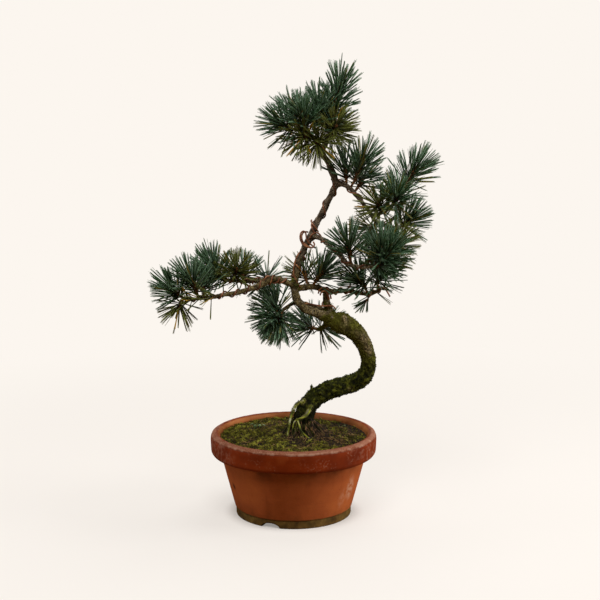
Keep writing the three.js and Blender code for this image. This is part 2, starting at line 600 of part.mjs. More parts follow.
const group = new THREE.Group();
group.add(meshOf("pot", geometryOf(potSolid()), matte(0x8c3f1a, 0.85)));
group.add(meshOf("drain_net", geometryOf(netSolid()), matte(0x1d1f1e, 0.6)));
group.add(meshOf("soil", geometryOf(soilSolid(holes)), matte(0x3a3618, 1)));
group.add(meshOf("wood", geometryOf(wood), matte(0x554636)));

const wireGroup = new THREE.Group();
for (const { name, route } of wires) {
  wireGroup.add(meshOf(name, bareGeometry(limbGeometry(route, WIRE.sides)), matte(0x8a4a30, 0.45, 0.9)));
}
group.add(wireGroup);

const foliage = new THREE.Group();
const draw = drawsFrom(SEED);
const bars = [...barkBars, ...wireBars, ...shootBars];
for (const spray of sprays) {
  foliage.add(meshOf(spray.name, growSpray(spray, draw, bars), matte(FOLIAGE[spray.age].colour, 0.55)));
}
group.add(foliage);

export default group;
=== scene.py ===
"""A white pine bonsai with copper training wire, in a round terracotta pot.

Sizes and places are millimetres in the frame of the part: the origin is the centre of the pot's foot, +Z is
up and the tree faces -Y. They are turned into Blender's metres where a mesh is made.
"""

from __future__ import annotations

import logging
import math
import random
from collections.abc import Callable, Iterable, Sequence
from dataclasses import dataclass
from enum import Enum

import bmesh
import bpy
from mathutils import Matrix, Quaternion, Vector, noise
from mathutils.bvhtree import BVHTree
from mathutils.kdtree import KDTree

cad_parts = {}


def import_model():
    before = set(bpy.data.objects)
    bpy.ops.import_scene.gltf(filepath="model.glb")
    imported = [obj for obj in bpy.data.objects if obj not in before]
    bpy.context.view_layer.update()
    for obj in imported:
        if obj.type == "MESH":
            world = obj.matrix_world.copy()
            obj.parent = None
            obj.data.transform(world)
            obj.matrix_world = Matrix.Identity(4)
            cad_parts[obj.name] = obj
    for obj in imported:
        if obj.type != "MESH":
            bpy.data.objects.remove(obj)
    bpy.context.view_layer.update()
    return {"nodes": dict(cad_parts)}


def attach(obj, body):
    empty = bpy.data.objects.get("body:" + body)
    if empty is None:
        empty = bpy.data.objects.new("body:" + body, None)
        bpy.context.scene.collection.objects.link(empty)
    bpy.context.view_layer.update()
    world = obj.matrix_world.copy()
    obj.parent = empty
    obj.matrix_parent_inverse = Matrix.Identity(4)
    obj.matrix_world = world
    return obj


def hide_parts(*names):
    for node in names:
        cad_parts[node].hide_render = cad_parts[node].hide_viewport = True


LOG = logging.getLogger("bonsai")
MM = 0.001
BODY = "root"
UP = Vector((0, 0, 1))
GOLDEN_TURN = math.radians(137.508)
WANDER_OFFSETS = (Vector((9.321, -1.531, -7.951)), Vector((0, 0, 0)), Vector((6.327, 0.1671, -2.672)))
BEND = (0.175, 0.215)  # the heights between which the trunk's bend passes into its upper half
LEADER = (0.3, 0.335)  # the heights between which the bark turns grey

Colour = tuple[float, float, float, float]
Point = tuple[float, float, float, float]
Line = list[tuple[Vector, float]]


class Slot(Enum):
    """The record's material slots."""

    CLAY = "terracotta"
    NET = "drain_net"
    SOIL = "soil"
    BARK = "bark"
    COPPER = "copper_wire"
    YOUNG = "young_needles"
    OLD = "old_needles"


# ---------------------------------------------------------------- the tree's lines

# The limbs: smooth curves through x, y, z, radius points, from the thick end to the thin one.
TRUNK = (
    (6, -2, 64, 9), (8, -2, 88, 12.5), (10, -1, 107, 13.5), (13, 0, 123, 13), (18, 2, 137, 12.4),
    (26, 5, 146, 11.6), (37, 8, 152, 11.4), (50, 10, 158, 11.4), (66, 13, 161, 11.6), (82, 14, 167, 11.2),
    (92, 13, 178, 10.2), (95, 11, 192, 9.3), (92, 8, 206, 9.5), (87, 5, 219, 10), (78, 2, 231, 11),
    (67, 0, 240, 12.4), (56, -1, 245, 13), (47, -2, 249, 9.2), (36, -4, 254, 6.3), (24, -6, 259, 5.4),
    (14, -8, 264, 5.2), (6, -9, 272, 5.1), (2, -9, 282, 5), (1, -8, 292, 5.2), (2, -6, 301, 4.8),
    (4, -4, 312, 4.6), (10, 0, 328, 4.1), (15, 3, 340, 4.3), (22, 5, 353, 4.5), (29, 7, 369, 4),
    (37, 8, 383, 4), (44, 8, 398, 3.8), (50, 7, 410, 4), (53, 6, 416, 4.4),
)
BRANCHES = {
    "crown": (
        (53, 6, 416, 4.2), (48, 4, 431, 4.2), (43, 2, 443, 3.8), (36, 0, 453, 3.7), (29, -3, 467, 3.2),
        (19, -6, 480, 2.7), (9, -6, 484, 2.3), (2, -5, 484, 2),
    ),
    "crown_right": ((34, -1, 457, 3.4), (41, 2, 471, 2.9), (47, 3, 487, 2.4), (50, 3, 497, 2.2)),
    "crown_back": ((31, -2, 463, 2.9), (29, 6, 477, 2.5), (27, 13, 484, 2.1)),
    "left": (
        (1, -8, 293, 4.6), (-9, -12, 297, 4), (-18, -15, 301, 3.6), (-28, -18, 301, 3.6),
        (-38, -21, 296, 3.3), (-49, -24, 292, 3.2), (-59, -27, 289, 3.1), (-70, -29, 286, 2.9),
        (-81, -31, 285, 2.8),
        (-92, -31, 283, 2.7), (-104, -30, 280, 2.3), (-115, -29, 279, 2.1), (-127, -28, 278, 1.9),
        (-135, -28, 279, 1.8),
    ),
    "left_back": (
        (-30, -18, 300, 2.9), (-46, -8, 298, 2.6), (-59, 0, 296, 2.3), (-72, 6, 296, 2.1),
        (-85, 11, 296, 1.9), (-94, 14, 297, 1.8),
    ),
    "mid": (
        (22, 4, 353, 4), (30, -2, 352, 3.1), (38, -8, 348, 3), (46, -14, 340, 3), (54, -18, 334, 2.9),
        (61, -22, 327, 2.9), (67, -25, 321, 2.7), (76, -28, 319, 2.4), (86, -32, 318, 2.2), (95, -35, 320, 2),
        (104, -37, 324, 1.9), (114, -34, 330, 1.8), (121, -31, 336, 1.7),
    ),
    "low": (
        (2, -8, 289, 4.6), (13, -5, 289, 4), (22, -2, 290, 3.7), (31, 0, 288, 3.6), (41, 2, 284, 4),
        (51, 3, 283, 3.1), (62, 3, 284, 2.9), (73, 2, 283, 2.8), (84, 1, 281, 2.6), (95, 0, 280, 2.5),
        (103, -2, 284, 2.3), (109, -3, 288, 1.9), (115, -4, 289, 1.5),
    ),
    "stub": ((50, 2, 248, 6.3), (43, 4, 264, 4.8), (40, 4, 275, 3.9), (41, 2, 284, 3.7)),
    "under_left": (
        (50, 8, 253, 3.2), (40, 12, 258, 2.6), (30, 13, 261, 2.4), (20, 12, 265, 2.3), (9, 10, 268, 2.2),
        (-2, 8, 266, 2.1), (-12, 5, 260, 2), (-18, 3, 252, 1.9),
    ),
    "inside": ((47, 5, 246, 4), (38, 16, 236, 3), (31, 25, 230, 2.4)),
    "right": (
        (53, 6, 416, 4), (61, 3, 417, 3.6), (69, 0, 412, 3.1), (76, -2, 405, 2.8), (82, -4, 398, 2.6),
        (89, -5, 389, 2.5), (96, -4, 379, 2.3), (101, -2, 371, 2.1), (112, 4, 365, 1.9), (124, 10, 361, 1.8),
        (133, 13, 361, 1.7),
    ),
    "right_upper": (
        (96, -4, 380, 2.1), (107, -6, 381, 1.9), (115, -7, 385, 1.8), (122, -8, 394, 1.8),
        (128, -8, 404, 1.7), (134, -7, 413, 1.7),
    ),
}
ROOTS = (
    (
        (13, -4, 144, 3.4), (5, -8, 142, 2.8), (0, -11, 135, 2.5), (-4, -13, 125, 2.4), (-6, -15, 113, 2.3),
        (-8, -16, 101, 2.2), (-11, -18, 86, 2),
    ),
    (
        (21, -8, 138, 3), (17, -13, 130, 2.5), (11, -15, 126, 2.4), (6, -16, 121, 2.4), (3, -19, 111, 2.3),
        (0, -22, 100, 2.2), (-2, -25, 86, 2),
    ),
    ((5, -10, 119, 2.4), (8, -16, 112, 2.3), (11, -21, 105, 2.2), (13, -26, 95, 2), (14, -30, 84, 1.8)),
    ((13, -10, 117, 2.3), (16, -17, 110, 2.1), (21, -21, 103, 2), (26, -26, 93, 1.8), (29, -29, 84, 1.6)),
    ((18, -8, 119, 1.8), (22, -13, 109, 1.7), (26, -17, 102, 1.6), (32, -21, 93, 1.4), (36, -24, 86, 1.3)),
    ((0, -6, 118, 2.4), (-8, -9, 112, 2.2), (-14, -12, 103, 2.1), (-19, -15, 93, 1.9), (-23, -18, 84, 1.7)),
    ((21, -3, 118, 2.6), (29, -4, 112, 2.3), (37, -6, 103, 2), (43, -8, 94, 1.9), (47, -9, 85, 1.7)),
    ((14, 8, 125, 2.8), (15, 15, 116, 2.5), (16, 21, 106, 2.2), (18, 28, 94, 2), (19, 32, 84, 1.8)),
    ((5, 6, 122, 2.8), (-2, 12, 113, 2.4), (-9, 17, 104, 2.2), (-16, 22, 93, 2), (-20, 25, 84, 1.8)),
    ((21, 4, 122, 2.6), (29, 10, 112, 2.3), (37, 15, 102, 2.1), (44, 20, 92, 1.8), (48, 22, 84, 1.7)),
    ((0, 0, 115, 2.6), (-9, 1, 108, 2.4), (-17, 3, 101, 2.2), (-25, 5, 92, 1.9), (-30, 6, 84, 1.7)),
)
CUT_STUB = ((24, 4, 150, 2.2), (23, 3, 158, 1.9), (22, 2, 164, 1.5))

# The wound wires: slices of limbs, pitch, phase in turns, how far the first turns stand off and a free end.
WOUND = {
    "wire_left": ((("trunk", 26, 24), ("left", 1, 12)), 16, 0.6, 0, ()),
    "wire_left_back": ((("left", 2, 3), ("left_back", 1, 4)), 16, 0.4, 0, ()),
    "wire_leader": ((("trunk", 27, 33), ("right", 1, 5)), 30, 0.8, 0, ()),
    "wire_mid": ((("trunk", 29, 28), ("mid", 1, 8)), 19, 0.2, 2.5, ()),
    "wire_low": (
        (("stub", 1, 2), ("low", 5, 11)), 14, 0.4, 0.6,
        ((113, -5, 288.5), (115.5, -5, 285), (118, -4.5, 281), (119.8, -4, 277.8)),
    ),
}
# The loose loops, knots and ends of wire.
LOOSE = {
    "wire_end_up": (
        (66, -3, 286.5), (66.5, -5.5, 287.5), (68.5, -6, 290), (70.5, -4.5, 292), (69.8, -3.5, 294.8),
        (68.6, -3.5, 297.8),
    ),
    "wire_knot": (
        (24.5, -2, 346), (26, -4, 342.5), (23.5, -6, 339.3), (18.5, -6.8, 339.6), (12.5, -6.4, 343),
        (9, -5.4, 347.6), (8.2, -4.2, 353), (9.6, -3, 357.6), (12.6, -2.4, 359.4), (15.2, -3.2, 356.6),
        (16, -4.6, 351.4), (18.4, -5.8, 346), (22, -5, 342.6), (25, -2.6, 339.6), (27.4, 1, 338),
    ),
    "wire_knot_back": (
        (21, -5, 339.5), (16.5, -6, 341.8), (12.6, -5.4, 345), (10.6, -4.4, 349), (10.2, -3.2, 353.4),
        (11.6, -2.2, 356.8), (14.2, -0.8, 358.4), (18, 1.5, 357.5),
    ),
    "wire_double": (
        (9, -4, 334), (5, -7.2, 330), (1.5, -9.3, 320), (0, -11, 308), (3, -12.4, 300), (7, -12.5, 293.5),
        (9.5, -10, 288.5),
    ),
    "wire_collar": (
        (31, -3.5, 281.5), (32.5, -4.6, 287), (37.5, -4.2, 289.6), (42.5, -4.2, 286.5), (45.5, -3, 280),
        (46.8, 0.5, 274.5),
    ),
    "wire_collar_low": (
        (33, -4.2, 279.5), (35.5, -5.4, 284.5), (39.5, -5, 285), (42.8, -3.6, 280), (44.6, -1.4, 274),
    ),
    "wire_anchor": (
        (12, -9.5, 270), (18, -8, 269.6), (25, -7, 268), (32, -6.5, 266.6), (38, -5.5, 266),
        (44, -4.5, 266.6), (49, -2.5, 265.6), (52, 0, 262),
    ),
}

# Old scars and burls that swell the trunk: x, y, z, radius.
BURLS = (
    (60, -8, 251, 5.5), (75, -6, 238, 5), (33, -2, 156, 4.5), (98, 5, 201, 4), (90, 6, 171, 4.5),
    (46, -7, 252, 4.5), (2, -9, 297, 4), (16, 3, 344, 3.2), (52, 5, 419, 4.2), (41, 3, 285, 4.4),
    (30, -1, 289, 3.6), (14, 4, 112, 8),
)

# Each spray: its limb, where its shoot starts and ends, how full it is and how old.
SPRAYS = (
    ("crown_apex", "crown_right", (50, 3, 506), (57, 0, 538), 12, "young"),
    ("crown_apex_side", "crown_right", (47, 8, 489), (49, 15, 510), 9, "young"),
    ("crown_mid", "crown_back", (32, 2, 491), (31, -6, 512), 9, "young"),
    ("crown_front", "crown", (15, -14, 486), (11, -26, 504), 9, "young"),
    ("crown_left", "crown", (-2, -7, 484), (-16, -16, 492), 9, "young"),
    ("crown_left_top", "crown", (4, 4, 491), (-2, 13, 502), 9, "young"),
    ("crown_low_left", "crown", (18, -12, 475), (9, -22, 475), 9, "old"),
    ("crown_low", "crown", (30, -10, 468), (28, -22, 469), 8, "old"),
    ("crown_right_low", "crown_right", (46, -4, 480), (52, -14, 488), 9, "old"),
    ("crown_back", "crown_back", (25, 20, 491), (22, 32, 500), 9, "young"),
    ("crown_back_right", "crown_right", (45, 12, 476), (52, 26, 481), 8, "old"),
    ("right_near", "right", (76, -3, 424), (86, -7, 448), 9, "young"),
    ("right_near_small", "right", (65, 2, 425), (63, 1, 437), 5, "young"),
    ("right_near_back", "right", (81, 10, 414), (88, 22, 425), 8, "young"),
    ("right_up", "right_upper", (139, -7, 421), (151, -7, 438), 9, "young"),
    ("right_centre", "right_upper", (124, -16, 394), (124, -27, 404), 9, "young"),
    ("right_centre_back", "right_upper", (132, 2, 404), (131, 14, 409), 8, "young"),
    ("right_olive", "right_upper", (108, -14, 387), (103, -24, 395), 9, "old"),
    ("right_whorl", "right", (99, 4, 364), (95, 14, 358), 8, "old"),
    ("right_low", "right", (136, 13, 365), (143, 12, 371), 9, "young"),
    ("mid_up", "mid", (69, -28, 332), (66, -31, 348), 9, "young"),
    ("mid_top", "mid", (105, -44, 333), (106, -50, 344), 9, "young"),
    ("mid_olive", "mid", (122, -28, 342), (127, -26, 350), 9, "old"),
    ("mid_front", "mid", (109, -49, 332), (115, -57, 341), 9, "young"),
    ("mid_low", "mid", (101, -43, 321), (107, -48, 324), 8, "young"),
    ("mid_back", "mid", (92, -24, 325), (99, -12, 332), 8, "young"),
    ("low_up", "low", (88, -4, 290), (81, -10, 299), 9, "young"),
    ("low_hang", "low", (91, 2, 272), (89, 2, 269), 2, "hanging"),
    ("low_tip", "low", (104, -9, 297), (107, -16, 305), 8, "young"),
    ("inner_up", "low", (28, -6, 298), (37, -10, 311), 8, "young"),
    ("inner_olive", "low", (16, 2, 297), (13, 10, 307), 6, "old"),
    ("left_end", "left", (-139, -30, 283), (-146, -34, 291), 9, "young"),
    ("left_end_under", "left", (-138, -27, 274), (-141, -26, 268), 5, "old"),
    ("left_second", "left", (-119, -33, 291), (-125, -37, 305), 9, "young"),
    ("left_second_back", "left", (-110, -22, 288), (-111, -12, 296), 8, "young"),
    ("left_third", "left_back", (-97, 16, 302), (-102, 18, 312), 9, "young"),
    ("left_third_front", "left_back", (-89, 6, 302), (-100, -4, 309), 8, "young"),
    ("left_olive", "left_back", (-73, 0, 303), (-70, -9, 313), 8, "old"),
    ("left_fourth", "left_back", (-62, 7, 301), (-63, 16, 305), 9, "young"),
    ("left_inner", "left_back", (-33, 4, 300), (-33, 14, 297), 7, "young"),
    ("under_front", "under_left", (-15, -6, 253), (-19, -17, 251), 9, "young"),
    ("under_top", "under_left", (-20, 6, 259), (-25, 10, 267), 9, "young"),
    ("under_low", "under_left", (-13, 7, 248), (-16, 10, 243), 9, "young"),
    ("under_left", "under_left", (-23, -1, 253), (-27, -10, 254), 9, "young"),
    ("inside_left", "inside", (24, 28, 232), (15, 34, 235), 8, "young"),
    ("inside_right", "inside", (34, 32, 231), (41, 40, 232), 8, "young"),
)


@dataclass(frozen=True)
class Route:
    """A smooth line of changing thickness through x, y, z, radius points."""

    points: tuple[Point, ...]

    def _piece(self, t: float) -> tuple[int, float]:
        """The piece between two points that t, from 0 to 1, falls in, and the share of it that is passed."""
        last = len(self.points) - 1
        i = min(int(t * last), last - 1)
        return i, t * last - i

    def place(self, t: float) -> Vector:
        """The point at t, from 0 to 1, on the centripetal curve through the points."""
        i, w = self._piece(t)
        corners = [Vector(point[:3]) for point in self.points]
        p1, p2 = corners[i], corners[i + 1]
        p0 = corners[i - 1] if i else p1 * 2 - p2
        p3 = corners[i + 2] if i + 2 < len(corners) else p2 * 2 - p1
        d0, d1, d2 = ((b - a).length ** 0.5 for a, b in ((p0, p1), (p1, p2), (p2, p3)))
        leave = ((p1 - p0) / d0 - (p2 - p0) / (d0 + d1) + (p2 - p1) / d1) * d1
        arrive = ((p2 - p1) / d1 - (p3 - p1) / (d1 + d2) + (p3 - p2) / d2) * d1
        cubic = 2 * p1 - 2 * p2 + leave + arrive
        square = -3 * p1 + 3 * p2 - 2 * leave - arrive
        return cubic * w**3 + square * w**2 + leave * w + p1

    def radius(self, t: float) -> float:
        """The radius at t, from 0 to 1."""
        i, w = self._piece(t)
        return self.points[i][3] * (1 - w) + self.points[i + 1][3] * w

    def heading(self, t: float) -> Vector:
        """The direction of the line at t, from 0 to 1."""
        step = 0.0001
        return (self.place(min(1, t + step)) - self.place(max(0, t - step))).normalized()

    def line(self, per_piece: int) -> Line:
        """The line as points and radii, with so many steps from each point to the next."""
        steps = (len(self.points) - 1) * per_piece
        return [(self.place(i / steps), self.radius(i / steps)) for i in range(steps + 1)]

    def part(self, first: int, last: int) -> tuple[Point, ...]:
        """The points from one to another, in that order."""
        points = self.points[min(first, last) : max(first, last) + 1]
        return points[::-1] if first > last else points


LIMBS = {"trunk": Route(TRUNK)} | {name: Route(points) for name, points in BRANCHES.items()}


# ---------------------------------------------------------------- small tools


def smooth(value: float, low: float, high: float) -> float:
    """A soft step from 0 at low to 1 at high."""
    share = min(1.0, max(0.0, (value - low) / (high - low)))
    return share * share * (3 - 2 * share)


def mixed(a: float, b: float, share: float) -> float:
    """The value between a and b at a share from 0 to 1."""
    return a + (b - a) * share


def level(angle: float) -> Vector:
    """The level direction at an angle."""
    return Vector((math.cos(angle), math.sin(angle), 0))


def turned(direction: Vector) -> Matrix:
    """The turn that lays +Z along a direction."""
    return direction.to_track_quat("Z", "Y").to_matrix().to_4x4()


def wander(place: Vector) -> Vector:
    """A soft random vector for a place, each part from -1 to 1, from three places of the same noise."""
    return Vector([noise.noise(place + offset) for offset in WANDER_OFFSETS])


def tone(code: str) -> Colour:
    """The linear colour of a six-digit hex code."""
    parts = [int(code[i : i + 2], 16) / 255 for i in (0, 2, 4)]
    red, green, blue = (c / 12.92 if c <= 0.04045 else ((c + 0.055) / 1.055) ** 2.4 for c in parts)
    return red, green, blue, 1.0


def object_of(name: str, mesh: bpy.types.ID) -> bpy.types.Object:
    """A new object in the scene that shows a mesh or holds a curve, a lamp or a camera."""
    thing = bpy.data.objects.new(name, mesh)
    bpy.context.scene.collection.objects.link(thing)
    return thing


def kept(name: str, bm: bmesh.types.BMesh) -> bpy.types.Mesh:
    """Turns a bmesh into a mesh of the same size and frees it."""
    mesh = bpy.data.meshes.new(name)
    bm.to_mesh(mesh)
    bm.free()
    return mesh


def mesh_from(name: str, bm: bmesh.types.BMesh, soft: bool = True) -> bpy.types.Mesh:
    """Turns a bmesh in millimetres into a mesh in metres and frees it."""
    bmesh.ops.scale(bm, vec=(MM, MM, MM), verts=bm.verts)
    for face in bm.faces:
        face.smooth = soft
    return kept(name, bm)


def bmesh_of(mesh: bpy.types.Mesh) -> bmesh.types.BMesh:
    """A bmesh in millimetres of a mesh in metres."""
    bm = bmesh.new()
    bm.from_mesh(mesh)
    bmesh.ops.scale(bm, vec=(1 / MM, 1 / MM, 1 / MM), verts=bm.verts)
    return bm


def spun(points: Sequence[Vector], steps: int, closed: bool) -> bmesh.types.BMesh:
    """Spins an open or a closed line round the Z axis."""
    bm = bmesh.new()
    line = [bm.verts.new(point) for point in points]
    edges = [bm.edges.new(pair) for pair in zip(line, line[1:] + line[:1] if closed else line[1:])]
    spin = {"cent": (0, 0, 0), "axis": (0, 0, 1), "angle": 2 * math.pi, "steps": steps, "use_merge": True}
    bmesh.ops.spin(bm, geom=line + edges, **spin)
    return bm


def stamp(bm: bmesh.types.BMesh, mesh: bpy.types.Mesh, place: Matrix) -> None:
    """Adds a copy of a mesh to a bmesh, moved by a matrix."""
    copy = mesh.copy()
    copy.transform(place)
    bm.from_mesh(copy)
    bpy.data.meshes.remove(copy)


def baked(thing: bpy.types.Object) -> bpy.types.Mesh:
    """The mesh of an object with its modifiers applied. The object is removed."""
    graph = bpy.context.evaluated_depsgraph_get()
    mesh = bpy.data.meshes.new_from_object(thing.evaluated_get(graph))
    bpy.data.objects.remove(thing)
    return mesh


def bars(name: str, lines: Iterable[Line], fineness: int) -> bpy.types.Mesh:
    """Round bars with closed ends along lines.

    Args:
        name: The mesh's name.
        lines: For each bar its points and radii.
        fineness: The curve's bevel resolution: 0 is four sides, and each step adds two.

    Returns:
        One mesh in metres that holds all the bars.
    """
    curve = bpy.data.curves.new(name, "CURVE")
    curve.dimensions = "3D"
    curve.bevel_depth = 1.0
    curve.bevel_resolution = fineness
    curve.use_fill_caps = True
    for line in lines:
        spline = curve.splines.new("POLY")
        spline.points.add(len(line) - 1)
        for point, (place, radius) in zip(spline.points, line):
            point.co = (*(place * MM), 1)
            point.radius = radius * MM
        spline.use_smooth = True
    return baked(object_of(name, curve))


def dressed(
    name: str, mesh: bpy.types.Mesh, slot: Slot, *finishes: Finish, nodes: Sequence[str] = ()
) -> bpy.types.Object:
    """Makes a finished piece, which rides with the part and stands for its CAD nodes.

    Args:
        name: The piece's name.
        mesh: Its mesh in metres.
        slot: The record's material slot; it is not used.
        finishes: Its finishes, in the order of the mesh's material numbers.
        nodes: The CAD nodes that it replaces.

    Returns:
        The piece.
    """
    piece = object_of(name, mesh)
    for finish in finishes:
        mesh.materials.append(finish.material)
    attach(piece, BODY)
    if nodes:
        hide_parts(*nodes)
    LOG.info("%s: %d faces", piece.name, len(mesh.polygons))
    return piece


# ---------------------------------------------------------------- finishes


class Finish:
    """A procedural material: its node tree, and short ways to add to it.

    Feature sizes are millimetres, places on an axis and distances are metres, and a colour may be a hex code.
    """

    def __init__(self, name: str) -> None:
        """Starts a material.

        Args:
            name: The material's name.
        """
        self.material = bpy.data.materials.new(name)
        self.material.use_nodes = True
        self.nodes = self.material.node_tree.nodes
        self.shader = self.nodes["Principled BSDF"]
        self.place = self.nodes.new("ShaderNodeTexCoord").outputs["Object"]

    def put(self, node: bpy.types.Node, socket: str | int, value: object) -> None:
        """Sets an input of a node, or links it when the value is another node's output."""
        if isinstance(value, bpy.types.NodeSocket):
            self.material.node_tree.links.new(value, node.inputs[socket])
        else:
            node.inputs[socket].default_value = tone(value) if isinstance(value, str) else value

    def node(self, kind: str, inputs: dict[str | int, object], **settings: object) -> bpy.types.Node:
        """Adds a shader node.

        Args:
            kind: The node's type after ShaderNode.
            inputs: Its inputs by name or number.
            settings: Its own properties.

        Returns:
            The node.
        """
        node = self.nodes.new(f"ShaderNode{kind}")
        for name, value in settings.items():
            setattr(node, name, value)
        for socket, value in inputs.items():
            self.put(node, socket, value)
        return node

    def stretched(self, by: Sequence[float]) -> bpy.types.NodeSocket:
        """The object's coordinates, scaled along X, Y and Z."""
        return self.node("Mapping", {"Vector": self.place, "Scale": by}).outputs["Vector"]

    def noise(
        self, size: float, detail: float = 3, at: bpy.types.NodeSocket | None = None
    ) -> bpy.types.NodeSocket:
        """Soft noise with features of a size, from 0 to 1."""
        inputs = {"Vector": at or self.place, "Scale": 1 / MM / size, "Detail": detail}
        return self.node("TexNoise", inputs).outputs["Fac"]

    def cells(self, size: float) -> bpy.types.NodeSocket:
        """The distance to the middle of cells of a size."""
        return self.node("TexVoronoi", {"Vector": self.place, "Scale": 1 / MM / size}).outputs["Distance"]

    def attribute(self, name: str) -> bpy.types.NodeSocket:
        """A number that the mesh carries."""
        return self.node("Attribute", {}, attribute_name=name).outputs["Fac"]

    def axis(self, letter: str) -> bpy.types.NodeSocket:
        """One of the object's coordinates."""
        return self.node("SeparateXYZ", {0: self.place}).outputs[letter]

    def length(self, vector: bpy.types.NodeSocket) -> bpy.types.NodeSocket:
        """The length of a vector."""
        return self.node("VectorMath", {0: vector}, operation="LENGTH").outputs["Value"]

    def maths(self, operation: str, a: object, b: object = 0.0) -> bpy.types.NodeSocket:
        """The result of arithmetic on two numbers."""
        return self.node("Math", {0: a, 1: b}, operation=operation).outputs[0]

    def times(self, first: object, *factors: object) -> object:
        """The product of numbers."""
        for factor in factors:
            first = self.maths("MULTIPLY", first, factor)
        return first

    def step(self, value: object, low: float, high: float) -> bpy.types.NodeSocket:
        """A soft step from 0 at low to 1 at high."""
        inputs = {"Value": value, "From Min": low, "From Max": high}
        return self.node("MapRange", inputs, interpolation_type="SMOOTHSTEP").outputs[0]

    def band(self, value: object, rise: Sequence[float], fall: Sequence[float]) -> object:
        """1 between two soft steps, up and down again, and 0 outside them."""
        return self.times(self.step(value, *rise), self.step(value, *fall))

    def ranged(self, share: object, low: object, high: object) -> bpy.types.NodeSocket:
        """The number between low and high at a share from 0 to 1."""
        return self.node("MapRange", {"Value": share, "To Min": low, "To Max": high}).outputs[0]

    def spot(self, centre: Sequence[float], size: Sequence[float]) -> bpy.types.NodeSocket:
        """1 in the middle of an oval spot, given in millimetres, and 0 outside it."""
        place = [c * MM for c in centre]
        offset = self.node("VectorMath", {0: self.place, 1: place}, operation="SUBTRACT").outputs[0]
        scale = [1 / (s * MM) for s in size]
        shaped = self.node("VectorMath", {0: offset, 1: scale}, operation="MULTIPLY").outputs[0]
        return self.step(self.length(shaped), 1.0, 0.25)

    def blend(self, share: object, a: object, b: object) -> bpy.types.NodeSocket:
        """A mix of two colours."""
        return self.node("Mix", {0: share, 6: a, 7: b}, data_type="RGBA", clamp_factor=True).outputs[2]

    def ramp(self, share: bpy.types.NodeSocket, *stops: tuple[float, str]) -> bpy.types.NodeSocket:
        """A colour that changes with a number, through stops in order."""
        node = self.node("ValToRGB", {0: share})
        elements = node.color_ramp.elements
        while len(elements) < len(stops):
            elements.new(0.5)
        for element, (position, code) in zip(elements, stops):
            element.position = position
            element.color = tone(code)
        return node.outputs["Color"]

    def bumpy(self, *layers: tuple[bpy.types.NodeSocket, float]) -> None:
        """Gives the surface fine relief: each layer is a height from 0 to 1 and its depth in millimetres."""
        normal = None
        for height, depth in layers:
            inputs: dict[str | int, object] = {"Height": height, "Strength": 1.0, "Distance": depth * MM}
            if normal:
                inputs["Normal"] = normal
            normal = self.node("Bump", inputs).outputs[0]
        self.put(self.shader, "Normal", normal)

    def surface(self, colour: object, roughness: object, **plain: float) -> None:
        """Sets the shader's colour, its roughness and any plain sockets, whose names have _ for a space."""
        self.put(self.shader, "Base Color", colour)
        self.put(self.shader, "Roughness", roughness)
        for socket, value in plain.items():
            self.put(self.shader, socket.replace("_", " "), value)


